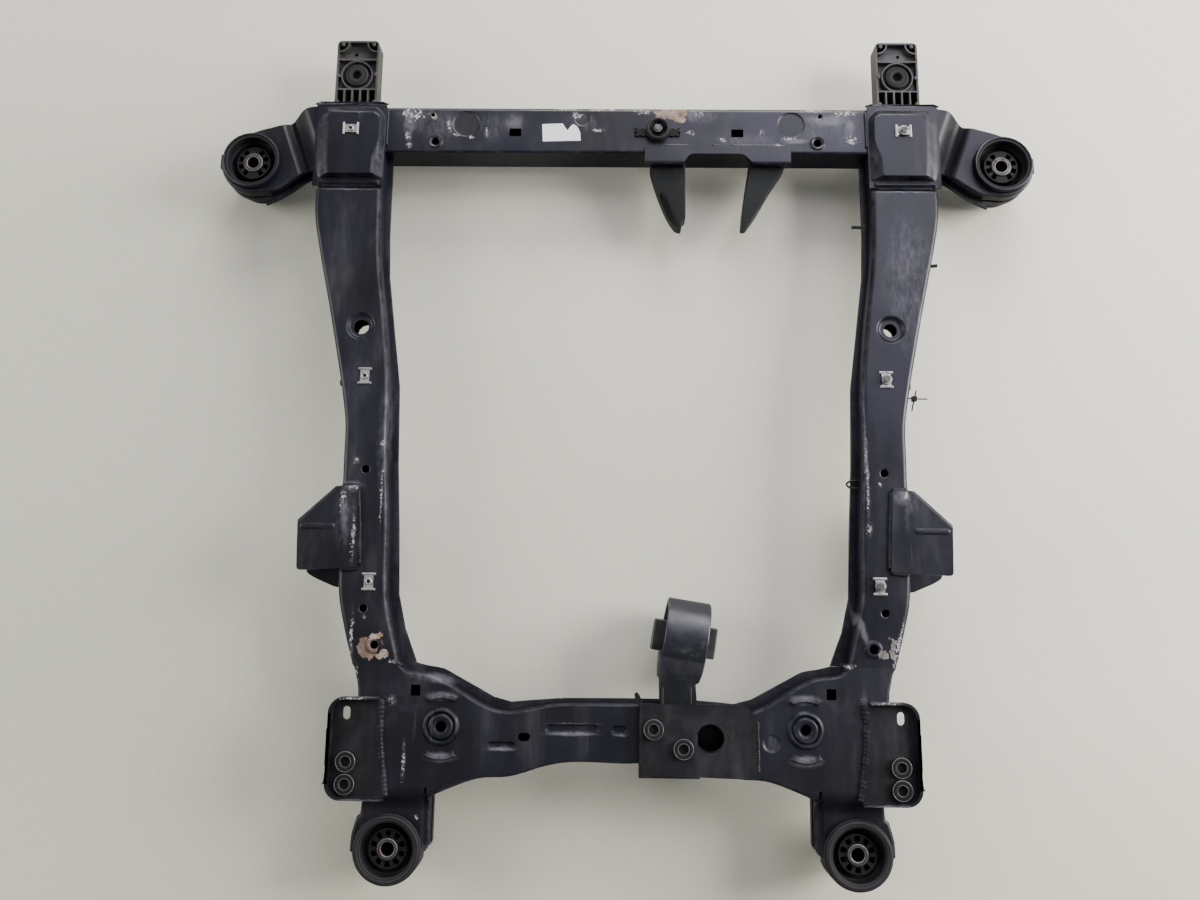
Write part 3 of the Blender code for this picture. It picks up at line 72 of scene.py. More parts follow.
BEAM_FRONT_Y = 0.4675
BEAM_REAR_Y = 0.4025
BEAM_REAR_FILLET = 0.0034
BEAM_END_X = 0.409

RAIL_ROOT_Y = BEAM_REAR_Y - GAP
RAIL_TAIL_Y = -0.262
RAIL_TAIL_GAP = 0.0002
RAIL_STEP_Y = 0.352
RAIL_STEP_RUN = 0.005
RAIL_STEP_CORNER = 0.009
RAIL_LEVEL_BLEND = 0.03
RAIL_LEVEL_Y = 0.02
RAIL_PITCH = 0.012
RAIL_OUTER = ((0.405, 0.407), (0.32, 0.4085), (0.276, 0.4015), (0.169, 0.377), (0.041, 0.351),
    (-0.012, 0.349), (-0.175, 0.3465), (-0.226, 0.336), (-0.262, 0.3255))
RAIL_INNER = ((0.405, 0.322), (0.33, 0.3215), (0.248, 0.3175), (0.167, 0.3065), (0.089, 0.298),
    (0.000, 0.2955), (-0.1, 0.2895), (-0.18, 0.287), (-0.218, 0.2795), (-0.262, 0.268))
RAIL_FLANGE = ((0.405, 0.3145), (0.33, 0.3145), (0.246, 0.312), (0.163, 0.301), (0.086, 0.29),
    (0.000, 0.287), (-0.098, 0.2815), (-0.172, 0.279), (-0.221, 0.2685), (-0.262, 0.2525))

REAR_FACE_EDGE = ((0.268, -0.262), (0.257, -0.2715), (0.23, -0.2755), (0.208, -0.285), (0.165, -0.31),
    (0.137, -0.317), (0.107, -0.3125), (0.07, -0.3078), (0.0, -0.3075))
REAR_FLANGE_EDGE = ((0.2525, -0.262), (0.24, -0.2655), (0.218, -0.2695), (0.198, -0.28), (0.156, -0.3025),
    (0.135, -0.308), (0.107, -0.3055), (0.07, -0.303), (0.0, -0.3025))
REAR_SIDE = ((0.3255, -0.262), (0.3165, -0.29), (0.307, -0.42), (0.313, -0.44), (0.3185, -0.461),
    (0.319, -0.4785))
REAR_HEM = ((0.226, -0.415), (0.196, -0.4025), (0.167, -0.3935), (0.132, -0.391), (0.091, -0.38),
    (0.056, -0.3752), (0.0, -0.3765))
LEG_NOTCH = ((0.236, -0.48), (0.231, -0.4785), (0.2305, -0.4725), (0.226, -0.472))
DIP_INNER_X = 0.092
DIP_OUTER_X = 0.122
LEG_BEND_Y = -0.405
LEG_FLAT_Y = -0.432
LEG_BEND_X = 0.2
LEG_END_R = 0.0403
LEG_STRIP_X = 0.237
LEG_STRIP_Y = -0.412
LEG_STRIP_DROP = 0.003

ARM_ROOT_X = BEAM_END_X + 0.0004
ARM_FRONT = ((0.42, 0.4678), (0.4365, 0.4638), (0.4475, 0.457), (0.4572, 0.4495), (0.471, 0.4446),
    (0.49, 0.4395))
ARM_REAR = ((0.474, 0.35), (0.46, 0.3565), (0.444, 0.368), (0.425, 0.38))
ARM_HEM = ((0.4835, 0.3375), (0.461, 0.3485), (0.442, 0.362), (0.4235, 0.376))
ARM_BEND = (0.45, 0.407)
ARM_BEND_TURN = radians(-19.4)
ARM_SEAM = 0.048
ARM_FLOOR = 0.032
ARM_COLLAR = 0.062
ARM_VALLEY = 0.0545
ARM_COLLAR_R = 0.0428
NUB_REACH = 0.0505
NUB_HALF = 0.01

SADDLE_INNER_X = 0.32
SADDLE_OUTER_X = 0.4145
SADDLE_REAR_Y = 0.353
SADDLE_FRONT_Y = 0.469
SADDLE_RISE = 0.0095
SADDLE_APRON = 0.014
SADDLE_CORNER = 0.008
SADDLE_STRIP = 0.008

FRONT_CAN_R = 0.038
REAR_CAN_R = 0.033
CAN_WALL = 0.0025
SLEEVE_R = 0.013
REAR_SLEEVE_R = 0.0122
BORE_R = 0.0078
REAR_RIM_R = 0.0405
VOID_COUNT = 10
FRONT_SLEEVE_TOP = 0.062
REAR_SLEEVE_TOP = 0.081
CAN_FOOT = 0.014
CAN_PROUD = 0.009
RIM_HEIGHT = 0.01

ISOLATOR = (0.042, 0.4335)
RAIL_HOLE = (0.3375, 0.1575)
RAIL_HOLE_R = {"left": 0.01, "right": 0.0088}
RAIL_PUNCHES = ((0.32, -0.028, 0.0048), (0.3145, -0.198, 0.0046))
RAIL_BOSS = (0.2985, -0.241)
REAR_BOSS = (0.2152, -0.335)
SUPPORT_X = 0.367
SUPPORT_BUSH_Y = 0.519
SUPPORT_TIP_Y = 0.57

# Weld nuts and the large hole of the centre plate
TORQUE_NUTS = ((0.036, -0.335), (0.071, -0.357))
PLATE_NUTS = ((0.324, -0.375), (0.324, -0.4005))
NUT_HOLE_R = 0.0055
CENTRE_HOLE = (0.103, -0.345)

# The frame gives the row's place for these outlines
SLEEVE_LOW, SLEEVE_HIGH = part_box("bush_sleeve_front_right")
SHIFT = (SLEEVE_LOW[1] + SLEEVE_HIGH[1]) / 2 - FRONT_BUSH[1]


# Shader nodes

class Shader:
    """A material's node tree with short calls for the nodes it needs."""

    def __init__(self, name, roughness=0.5, metallic=0.0):
        self.material = bpy.data.materials.new(name)
        self.material.use_nodes = True
        self.nodes = self.material.node_tree.nodes
        self.links = self.material.node_tree.links
        self.surface = self.nodes["Principled BSDF"]
        self.surface.inputs["Roughness"].default_value = roughness
        self.surface.inputs["Metallic"].default_value = metallic
        self.place = self.nodes.new("ShaderNodeTexCoord").outputs["Object"]

    def put(self, socket, value):
        if isinstance(value, bpy.types.NodeSocket):
            self.links.new(value, socket)
        else:
            socket.default_value = value

    def maths(self, operation, a, b=0.0, c=0.0, clamp=False):
        node = self.nodes.new("ShaderNodeMath")
        node.operation = operation
        node.use_clamp = clamp
        for socket, value in zip(node.inputs, (a, b, c)):
            self.put(socket, value)
        return node.outputs[0]

    def noise(self, scale, detail=4.0, rough=0.55, place=None, stretch=None, distortion=0.0):
        node = self.nodes.new("ShaderNodeTexNoise")
        node.inputs["Scale"].default_value = scale
        node.inputs["Detail"].default_value = detail
        node.inputs["Roughness"].default_value = rough
        node.inputs["Distortion"].default_value = distortion
        source = place or self.place
        if stretch:
            mapping = self.nodes.new("ShaderNodeMapping")
            mapping.inputs["Scale"].default_value = stretch[:3]
            mapping.inputs["Rotation"].default_value = (0, 0, stretch[3] if len(stretch) > 3 else 0.0)
            self.links.new(source, mapping.inputs["Vector"])
            source = mapping.outputs["Vector"]
        self.links.new(source, node.inputs["Vector"])
        return node.outputs["Fac"]

    def ramp(self, value, low, high, start=0.0, end=1.0):
        node = self.nodes.new("ShaderNodeMapRange")
        node.interpolation_type = 'SMOOTHSTEP'
        self.put(node.inputs["Value"], value)
        for label, number in (("From Min", low), ("From Max", high), ("To Min", start), ("To Max", end)):
            node.inputs[label].default_value = number
        return node.outputs["Result"]

    def tinted(self, colour, factor, share, tint):
        """The colour with a tint laid over it, as strong as factor times share."""
        return self.mix(self.maths('MULTIPLY', factor, share), colour, tint)

    def mix(self, factor, first, second):
        node = self.nodes.new("ShaderNodeMix")
        node.data_type = 'RGBA'
        self.put(node.inputs["Factor"], factor)
        for socket, value in ((node.inputs[6], first), (node.inputs[7], second)):
            self.put(socket, (*value, 1.0) if isinstance(value, tuple) else value)
        return node.outputs[2]

    def attribute(self, name):
        node = self.nodes.new("ShaderNodeAttribute")
        node.attribute_name = name
        return node.outputs["Fac"]

    def up(self):
        """How far the surface faces up, from 0 to 1."""
        geometry = self.nodes.new("ShaderNodeNewGeometry")
        parts = self.nodes.new("ShaderNodeSeparateXYZ")
        self.links.new(geometry.outputs["Normal"], parts.inputs[0])
        return self.maths('MAXIMUM', parts.outputs["Z"], 0.0)

    def bump(self, height, strength, distance, normal=None):
        node = self.nodes.new("ShaderNodeBump")
        node.inputs["Strength"].default_value = strength
        node.inputs["Distance"].default_value = distance
        self.put(node.inputs["Height"], height)
        if normal:
            self.links.new(normal, node.inputs["Normal"])
        return node.outputs["Normal"]

    def wander(self, amount, scale):
        """The place, moved about by noise, so that patches get ragged outlines."""
        node = self.nodes.new("ShaderNodeTexNoise")
        node.inputs["Scale"].default_value = scale
        node.inputs["Detail"].default_value = 3.0
        self.links.new(self.place, node.inputs["Vector"])
        moved = self.nodes.new("ShaderNodeVectorMath")
        moved.operation = 'MULTIPLY_ADD'
        self.links.new(node.outputs["Color"], moved.inputs[0])
        moved.inputs[1].default_value = (amount, amount, 0.0)
        shifted = self.nodes.new("ShaderNodeVectorMath")
        shifted.operation = 'SUBTRACT'
        self.links.new(self.place, shifted.inputs[0])
        shifted.inputs[1].default_value = (amount / 2, amount / 2, 0.0)
        self.links.new(shifted.outputs[0], moved.inputs[2])
        return moved.outputs[0]

    def patches(self, spots, place, border=1.15, core=0.25):
        """1 in the core of each patch and 0 past its border.

        A patch is x, y, half width, half length and, where it is turned, its turn in degrees.
        """
        total = None
        for x, y, across, along, *turn in spots:
            mapping = self.nodes.new("ShaderNodeMapping")
            mapping.vector_type = 'TEXTURE'
            mapping.inputs["Location"].default_value = (x, y + SHIFT, 0.0)
            mapping.inputs["Rotation"].default_value = (0.0, 0.0, radians(turn[0] if turn else 0.0))
            mapping.inputs["Scale"].default_value = (across, along, 1000.0)
            self.links.new(place, mapping.inputs["Vector"])
            length = self.nodes.new("ShaderNodeVectorMath")
            length.operation = 'LENGTH'
            self.links.new(mapping.outputs["Vector"], length.inputs[0])
            share = self.ramp(length.outputs["Value"], border, core)
            total = share if total is None else self.maths('MAXIMUM', total, share)
        return total

    def finish(self, colour, roughness, metallic, normal):
        for label, value in (("Base Color", colour), ("Roughness", roughness), ("Metallic", metallic),
                ("Normal", normal)):
            if value is not None:
                self.put(self.surface.inputs[label], (*value, 1.0) if isinstance(value, tuple) else value)
        return self.material


PAINT_DARK = (0.0055, 0.0055, 0.008)
PAINT_LIGHT = (0.014, 0.0134, 0.0235)
RUBBED_EDGE_AND_HIGHLIGHT = (0.085, 0.083, 0.1)
PRIMER = (0.56, 0.55, 0.53)
PRIMER_DIRTY = (0.36, 0.34, 0.33)
HAZE = (0.2, 0.19, 0.215)
SCORED = (0.1, 0.1, 0.115)
SCUFFED = (0.13, 0.125, 0.145)
BARE = (0.25, 0.24, 0.235)
BARE_DARK = (0.1, 0.088, 0.08)
RUST = (0.24, 0.145, 0.09)
RUST_PALE = (0.4, 0.34, 0.28)
RUST_DARK = (0.09, 0.055, 0.04)
DUST = (0.15, 0.15, 0.155)
PALE_RUB_AND_HIGHLIGHT = (0.175, 0.168, 0.195)
PAINTED_SHADE_BLACK = (0.0035, 0.0035, 0.0045)
PAINTED_SHADE_CASTING = (0.008, 0.0088, 0.008)
BORE_RUST = (0.045, 0.022, 0.018)
STEEL_RUST = (0.17, 0.085, 0.045)
STEEL_EDGE = (0.46, 0.45, 0.44)
CASTING_EDGE = (0.12, 0.12, 0.13)
RUBBER_DUST = (0.032, 0.031, 0.031)
RUBBER_EDGE = (0.1, 0.1, 0.105)
ZINC_CLEAN = (0.66, 0.66, 0.65)
ZINC_DIRT = (0.24, 0.23, 0.22)
ZINC_STAIN = (0.22, 0.16, 0.1)
PLASTIC_BLACK = (0.012, 0.012, 0.013)
PLASTIC_SCUFF = (0.045, 0.045, 0.047)
LABEL_WHITE = (0.95, 0.965, 0.98)
LABEL_SMUDGE = (0.78, 0.8, 0.82)
FLOOR_LEFT_PAINTED_DIM = (0.72, 0.715, 0.595)
FLOOR_RIGHT_PAINTED_LIT = (0.97, 0.95, 0.79)
FLOOR_NEAR = (0.94, 0.875, 0.665)
FLOOR_FAR = (0.97, 0.92, 0.78)
FLOOR_CLOUD = (0.62, 0.64, 0.53)
FLOOR_PALE_SPECK = (0.92, 0.92, 0.86)
FLOOR_DARK_SPECK = (0.5, 0.51, 0.46)


def paint(name, chips=(), bare=(), rust=(), scuffs=(), discs=(), rubs_and_highlights=(), dull=(), gloss=0.34, shine=0.5,
        tint=PAINT_DARK, broad_tint=PAINT_LIGHT):
    """Black dip paint, rubbed pale at the shoulders, with chips, rub patches, bare and rusty patches at
    given places; the pale shoulders and rub patches are partly painted highlight, and the dull patches are
    painted shade.
    """
    s = Shader(name)
    ragged = s.wander(0.016, 90.0)
    close = s.wander(0.0045, 150.0)
    fine = s.noise(160.0, 5.0, 0.6)
    smear = s.noise(26.0, 5.0, 0.65, stretch=(1.0, 0.25, 1.0))
    up = s.up()
    colour = s.mix(s.ramp(s.noise(7.0, 3.0), 0.3, 0.72), tint, broad_tint)
    colour = s.tinted(colour, s.ramp(smear, 0.5, 0.8, 0.0, 0.16), up, DUST)
    rough = s.ramp(smear, 0.25, 0.85, gloss - 0.04, gloss + 0.2)

    # Pale wear on the marked shoulders and pressing slopes, which also paints a highlight along them
    edge = s.maths('MULTIPLY', s.attribute("edge"), s.ramp(s.noise(55.0, 6.0, 0.7), 0.38, 0.7))
    colour = s.tinted(colour, edge, 0.55, RUBBED_EDGE_AND_HIGHLIGHT)
    scratch = s.ramp(s.noise(90.0, 3.0, 0.6, stretch=(1.0, 0.06, 1.0, 0.5)), 0.69, 0.74)
    colour = s.tinted(colour, scratch, 0.26, SCORED)
    metallic = s.maths('MULTIPLY', edge, 0.25)
    height = s.maths('MULTIPLY', s.noise(1100.0, 2.0), 0.3)

    if scuffs:
        streaks = s.ramp(s.noise(140.0, 6.0, 0.7, stretch=(1.0, 0.35, 1.0)), 0.35, 0.75)
        colour = s.tinted(colour, s.maths('MULTIPLY', s.patches(scuffs, close), streaks), 0.55, SCUFFED)
    # Rub patches: pale rubbed paint along crests, shoulders, lips, beads and crescents, which also paints
    # the highlights along them
    if rubs_and_highlights:
        area = s.patches(rubs_and_highlights, close, 1.3, 0.35)
        rub_and_highlight = s.maths('MULTIPLY', area, s.ramp(s.noise(95.0, 4.0, 0.6), 0.28, 0.6, 0.25, 1.0))
        colour = s.tinted(colour, rub_and_highlight, 0.62, PALE_RUB_AND_HIGHLIGHT)
    if discs:
        disc = s.patches(discs, s.place, 1.02, 0.94)
        colour = s.tinted(colour, disc, 0.85, PAINT_DARK)
        rough = s.maths('MULTIPLY_ADD', disc, 0.12, rough)
    if bare:
        flecks = s.maths('MULTIPLY_ADD', s.patches(bare, ragged), 0.75, s.noise(210.0, 6.0, 0.72))
        shown = s.ramp(flecks, 0.78, 0.84)
        metal = s.mix(s.ramp(fine, 0.35, 0.65), BARE_DARK, BARE)
        metal = s.mix(s.ramp(s.noise(75.0, 4.0), 0.5, 0.7, 0.0, 0.5), metal, RUST)
        colour = s.mix(shown, colour, metal)
        rough = s.maths('MULTIPLY_ADD', shown, 0.2, rough)
        height = s.maths('SUBTRACT', height, shown)
    if rust:
        flecks = s.maths('MULTIPLY_ADD', s.patches(rust, ragged), 0.75, s.noise(190.0, 6.0, 0.72))
        shown = s.ramp(flecks, 0.72, 0.8)
        flake = s.mix(s.ramp(s.noise(120.0, 5.0, 0.7), 0.36, 0.62), RUST, RUST_PALE)
        flake = s.mix(s.ramp(s.noise(60.0, 5.0, 0.7), 0.5, 0.62, 0.0, 0.8), flake, RUST_DARK)
        colour = s.mix(shown, colour, flake)
        rough = s.maths('MULTIPLY_ADD', shown, 0.4, rough)
        height = s.maths('SUBTRACT', height, shown)
    if chips:
        area = s.patches(chips, close, 1.5, 0.1)
        cloud = s.ramp(s.noise(75.0, 6.0, 0.75, stretch=(1.0, 0.5, 1.0)), 0.4, 0.64)
        colour = s.tinted(colour, s.maths('MULTIPLY', area, cloud), 0.5, HAZE)
        flecks = s.maths('MULTIPLY_ADD', area, 0.19, s.noise(300.0, 6.0, 0.72, distortion=0.4))
        shown = s.maths('MULTIPLY', s.ramp(flecks, 0.665, 0.7), s.ramp(area, 0.02, 0.15))
        colour = s.mix(shown, colour, s.mix(s.ramp(fine, 0.4, 0.6), PRIMER_DIRTY, PRIMER))
        rough = s.maths('MULTIPLY_ADD', shown, 0.3, rough)
        height = s.maths('SUBTRACT', height, shown)

    rough = s.maths('MINIMUM', rough, 0.85)
    normal = s.bump(height, 0.35, 0.00035)
    normal = s.bump(s.noise(22.0, 3.0), 0.25, 0.0012, normal)
    specular = s.ramp(up, 0.72, 0.99, 0.11, shine)
    # Dull patches are painted shade: darkened towards black with their specular cut, as over the arms'
    # shaded valleys
    if dull:
        shade = s.patches(dull, s.place, 1.3, 0.3)
        colour = s.tinted(colour, shade, 0.7, PAINTED_SHADE_BLACK)
        specular = s.maths('MULTIPLY', specular, s.maths('MULTIPLY_ADD', shade, -0.85, 1.0))
    s.put(s.surface.inputs["Specular IOR Level"], specular)
    return s.finish(colour, rough, metallic, normal)


def rubber(name, base=(0.008, 0.008, 0.0092), bloom_tint=(0.015, 0.0148, 0.016)):
    """Moulded rubber with a faint grey bloom."""
    s = Shader(name)
    bloom = s.noise(38.0, 5.0, 0.65)
    colour = s.mix(s.ramp(bloom, 0.35, 0.75), base, bloom_tint)
    dust = s.ramp(s.noise(12.0, 3.0), 0.45, 0.75, 0.0, 0.5)
    colour = s.tinted(colour, dust, s.up(), RUBBER_DUST)
    colour = s.tinted(colour, s.attribute("edge"), 0.3, RUBBER_EDGE)
    s.put(s.surface.inputs["Specular IOR Level"], 0.2)
    normal = s.bump(s.noise(600.0, 3.0), 0.35, 0.0003)
    normal = s.bump(s.noise(70.0, 3.0), 0.2, 0.0008, normal)
    return s.finish(colour, s.ramp(bloom, 0.2, 0.8, 0.55, 0.85), None, normal)


def steel(name, clean, dirty, rust_share):
    """Stained steel with bright edges and rusty walls and bores."""
    s = Shader(name, metallic=0.75)
    stain = s.noise(90.0, 6.0, 0.7)
    colour = s.mix(s.ramp(stain, 0.38, 0.68), clean, dirty)
    colour = s.mix(s.ramp(s.noise(150.0, 5.0), 0.52, 0.66, 0.0, rust_share), colour, STEEL_RUST)
    colour = s.mix(s.ramp(s.up(), 0.25, 0.7), BORE_RUST, colour)
    colour = s.tinted(colour, s.attribute("edge"), 0.5, STEEL_EDGE)
    normal = s.bump(stain, 0.3, 0.0003)
    return s.finish(colour, s.ramp(stain, 0.3, 0.75, 0.38, 0.75), None, normal)


def zinc(name):
    """Dull zinc with dirt in its pits."""
    s = Shader(name, metallic=0.85)
    dirt = s.noise(260.0, 5.0, 0.7)
    colour = s.mix(s.ramp(dirt, 0.42, 0.7), ZINC_CLEAN, ZINC_DIRT)
    colour = s.mix(s.ramp(s.noise(120.0, 4.0), 0.58, 0.72, 0.0, 0.45), colour, ZINC_STAIN)
    return s.finish(colour, s.ramp(dirt, 0.3, 0.7, 0.28, 0.6), None, s.bump(dirt, 0.2, 0.0002))


def casting(name, tint, broad_tint, gloss, shine, dull=()):
    """A coated casting with a sandy skin and rubbed edges, and painted shade at its dull patches."""
    s = Shader(name)
    broad = s.noise(24.0, 4.0, 0.6)
    colour = s.mix(s.ramp(broad, 0.35, 0.7), tint, broad_tint)
    dust = s.ramp(s.noise(60.0, 5.0, 0.7), 0.52, 0.75, 0.0, 0.35)
    colour = s.tinted(colour, dust, s.up(), DUST)
    edge = s.maths('MULTIPLY', s.attribute("edge"), s.ramp(s.noise(70.0, 5.0, 0.7), 0.35, 0.65))
    colour = s.tinted(colour, edge, 0.6, CASTING_EDGE)
    specular = s.ramp(s.up(), 0.3, 0.9, 0.12, shine)
    # Dull patches are painted shade: darkened to a greenish black with their specular cut
    if dull:
        shade = s.patches(dull, s.place, 1.3, 0.6)
        colour = s.tinted(colour, shade, 0.75, PAINTED_SHADE_CASTING)
        specular = s.maths('MULTIPLY', specular, s.maths('MULTIPLY_ADD', shade, -0.75, 1.0))
    s.put(s.surface.inputs["Specular IOR Level"], specular)
    normal = s.bump(s.noise(420.0, 4.0, 0.6), 0.35, 0.0003)
    return s.finish(colour, s.ramp(broad, 0.2, 0.8, gloss - 0.04, gloss + 0.18), None, normal)


def plastic(name):
    """Black clip plastic with faint scuffs."""
    s = Shader(name, roughness=0.45)
    scuff = s.noise(130.0, 5.0)
    colour = s.mix(s.ramp(scuff, 0.45, 0.75), PLASTIC_BLACK, PLASTIC_SCUFF)
    return s.finish(colour, s.ramp(scuff, 0.2, 0.8, 0.35, 0.6), None, s.bump(scuff, 0.15, 0.0002))


def paper(name):
    """White label stock, a little smudged."""
    s = Shader(name, roughness=0.7)
    smudge = s.noise(130.0, 5.0, 0.7)
    colour = s.mix(s.ramp(smudge, 0.5, 0.78), LABEL_WHITE, LABEL_SMUDGE)
    return s.finish(colour, None, None, s.bump(s.noise(90.0, 3.0), 0.35, 0.0005))


def floor_finish():
    """Pale floor with a faint brushed mottle, warmer towards -Y, and painted brighter towards +X as a
    painted falloff of the light from that side.
    """
    s = Shader("pale floor", roughness=0.75)
    parts = s.nodes.new("ShaderNodeSeparateXYZ")
    s.links.new(s.place, parts.inputs[0])
    cloud = s.noise(2.2, 4.0, 0.6)
    speck = s.noise(150.0, 4.0, 0.65, stretch=(1.0, 0.45, 1.0, 0.35))
    # Painted light: the floor grows brighter towards +X, where the right lamp stands
    colour = s.mix(s.ramp(parts.outputs["X"], -0.75, 0.75), FLOOR_LEFT_PAINTED_DIM, FLOOR_RIGHT_PAINTED_LIT)
    colour = s.mix(s.ramp(parts.outputs["Y"], -0.3, -0.6, 0.0, 0.6), colour, FLOOR_NEAR)
    colour = s.mix(s.ramp(parts.outputs["Y"], 0.25, 0.65, 0.0, 0.5), colour, FLOOR_FAR)
    colour = s.mix(s.ramp(cloud, 0.35, 0.75, 0.0, 0.15), colour, FLOOR_CLOUD)
    colour = s.mix(s.ramp(speck, 0.5, 0.78, 0.0, 0.22), colour, FLOOR_PALE_SPECK)
    colour = s.mix(s.ramp(speck, 0.46, 0.24, 0.0, 0.16), colour, FLOOR_DARK_SPECK)
    return s.finish(colour, None, None, s.bump(speck, 0.2, 0.0008))


# Outlines

# Points closer than this are one in a triangulation, and a point this near a line lies on it
MERGE_DISTANCE = 1e-7
ON_LINE = 2e-6
LOOP_REACH = 0.1


def lerp(a, b, t):
    return tuple(p + (q - p) * t for p, q in zip(a, b))


def ease(t):
    t = min(max(t, 0.0), 1.0)
    return t * t * (3 - 2 * t)


def spline(points, steps):
    """Points on a smooth curve through the given ones, with this many steps in each span."""
    line = [tuple(2 * a - b for a, b in zip(points[0], points[1])), *points,
        tuple(2 * a - b for a, b in zip(points[-1], points[-2]))]
    made = []
    for p, q, r, s in zip(line, line[1:], line[2:], line[3:]):
        for k in range(steps):
            t = k / steps
            made.append(tuple(0.5 * (2 * b + (c - a) * t + (2 * a - 5 * b + 4 * c - d) * t * t
                + (3 * b - a - 3 * c + d) * t ** 3) for a, b, c, d in zip(p, q, r, s)))
    made.append(tuple(points[-1]))
    return made


def edge_x(points, y):
    """The x of a smooth edge, given as (y, x) points from front to rear, at one y."""
    for p, q, r, s in zip((points[0], *points), points, points[1:], (*points[2:], points[-1])):
        if q[0] >= y >= r[0]:
            t = (y - q[0]) / (r[0] - q[0])
            m0 = (r[1] - p[1]) / (r[0] - p[0]) * (r[0] - q[0])
            m1 = (s[1] - q[1]) / (s[0] - q[0]) * (r[0] - q[0])
            return ((2 * t ** 3 - 3 * t * t + 1) * q[1] + (t ** 3 - 2 * t * t + t) * m0
                + (3 * t * t - 2 * t ** 3) * r[1] + (t ** 3 - t * t) * m1)
    return points[-1][1]


def arc(centre, radius, start, end, steps):
    turns = [radians(start + (end - start) * k / steps) for k in range(steps + 1)]
    return [(centre[0] + radius * cos(a), centre[1] + radius * sin(a)) for a in turns]


def circle(x, y, radius, steps=36):
    return arc((x, y), radius, 0, 360, steps)[:-1]


def corner_curve(p, q, r, size, steps, share=0.45):
    """Points round the corner q between p and r, which start and end at most that share along its sides."""
    p, q, r = Vector(p), Vector(q), Vector(r)
    a, b = p - q, r - q
    size = min(size, a.length * share, b.length * share)
    start, end = q + a.normalized() * size, q + b.normalized() * size
    turns = [k / steps for k in range(steps + 1)]
    return [start * (1 - t) ** 2 + q * 2 * t * (1 - t) + end * t * t for t in turns]


def round_corners(points, radius, steps=5):
    """A closed loop with its corners rounded. radius is one number, or one for each corner."""
    made = []
    for i, q in enumerate(points):
        size = radius[i] if isinstance(radius, (list, tuple)) else radius
        ahead = points[(i + 1) % len(points)]
        made += [tuple(v) for v in corner_curve(points[i - 1], q, ahead, size, steps)]
    return made


def open_round(points, radius, steps=5):
    """An open line with its inner corners rounded, each by its own radius."""
    made = [points[0]]
    for p, q, r, size in zip(points, points[1:], points[2:], radius[1:]):
        made += [tuple(v) for v in corner_curve(p, q, r, size, steps)]
    return [*made, points[-1]]


def box_loop(x, y, width, length, radius=0.001):
    """A rectangle with rounded corners round x, y."""
    corners = [(x - width / 2, y - length / 2), (x + width / 2, y - length / 2),
        (x + width / 2, y + length / 2), (x - width / 2, y + length / 2)]
    return round_corners(corners, radius, 3)


def capsule(x0, x1, y, half):
    """A slot with round ends from x0 to x1."""
    return arc((x1 - half, y), half, -90, 90, 8) + arc((x0 + half, y), half, 90, 270, 8)


def inset_loop(loop, distances):
    """Moves each side of a loop, which runs anticlockwise, inwards by its own distance."""
    count = len(loop)
    made = []
    for i in range(count):
        p, q, r = loop[i - 1], loop[i], loop[(i + 1) % count]
        a, b = distances[i - 1], distances[i]
        u = Vector((q[0] - p[0], q[1] - p[1])).normalized()
        v = Vector((r[0] - q[0], r[1] - q[1])).normalized()
        n, m = Vector((-u.y, u.x)), Vector((-v.y, v.x))
        turn = u.x * v.y - u.y * v.x
        start = Vector(q) + n * a
        if abs(turn) < 0.02:
            made.append(tuple(Vector(q) + (n + m).normalized() * (a + b) / 2))
        else:
            other = Vector(q) + m * b
            t = ((other.x - start.x) * v.y - (other.y - start.y) * v.x) / turn
            made.append(tuple(start + u * t))
    return made


def offset_line(points, distance):
    """Moves an open line to its left by a distance, and keeps its ends at their y."""
    first, last = points[0], points[-1]
    far = [(last[0] + last[0] - points[-2][0], last[1] + last[1] - points[-2][1]),
        (first[0] + first[0] - points[1][0], first[1] + first[1] - points[1][1])]
    made = inset_loop([*points, *far], [distance] * (len(points) + 2))[:len(points)]
    return [(made[0][0], first[1]), *made[1:-1], (made[-1][0], last[1])]


def inside(loop, x, y):
    odd = False
    for (x0, y0), (x1, y1) in zip(loop, loop[1:] + loop[:1]):
        if (y0 > y) != (y1 > y) and x < x0 + (y - y0) * (x1 - x0) / (y1 - y0):
            odd = not odd
    return odd


def on_loop(loop, point):
    """Whether a point lies on a closed line, and within LOOP_REACH of where the line starts."""
    if abs(point.x - loop[0][0]) > LOOP_REACH or abs(point.y - loop[0][1]) > LOOP_REACH:
        return False
    for p, q in zip(loop, loop[1:] + loop[:1]):
        p, q = Vector(p), Vector(q)
        length = (q - p).length
        if length > 0:
            t = min(max((point - p).dot(q - p) / length ** 2, 0.0), 1.0)
            if (p + (q - p) * t - point).length < ON_LINE:
                return True
    return False


def mirrored(points):
    return [(-x, y) for x, y in reversed(points)]


# Meshes

def mirror_x(work):
    for vertex in work.verts:
        vertex.co.x = -vertex.co.x
    bmesh.ops.reverse_faces(work, faces=work.faces)


def piece(name, mesh, finish, stands_for=(), sharp=38, place=None, slot=None):
    """A finished mesh as an object that rides on the part. Its slot, from its finish if no other is given,
    is worked out but not used.
    """
    slot = slot or next((label for label, finishes in SLOTS.items() if finish in finishes), "black_paint")
    mesh.transform(place if place is not None else Matrix.Translation((0, SHIFT, 0)))
    mesh.materials.clear()
    mesh.materials.append(finish)
    for face in mesh.polygons:
        face.use_smooth = True
    mesh.set_sharp_from_angle(angle=radians(sharp))
    made = bpy.data.objects.new(name, mesh)
    bpy.context.scene.collection.objects.link(made)
    weigh = made.modifiers.new("flat faces", 'WEIGHTED_NORMAL')
    weigh.keep_sharp = True
    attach(made, "root")
    if stands_for:
        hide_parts(*stands_for)
    return made


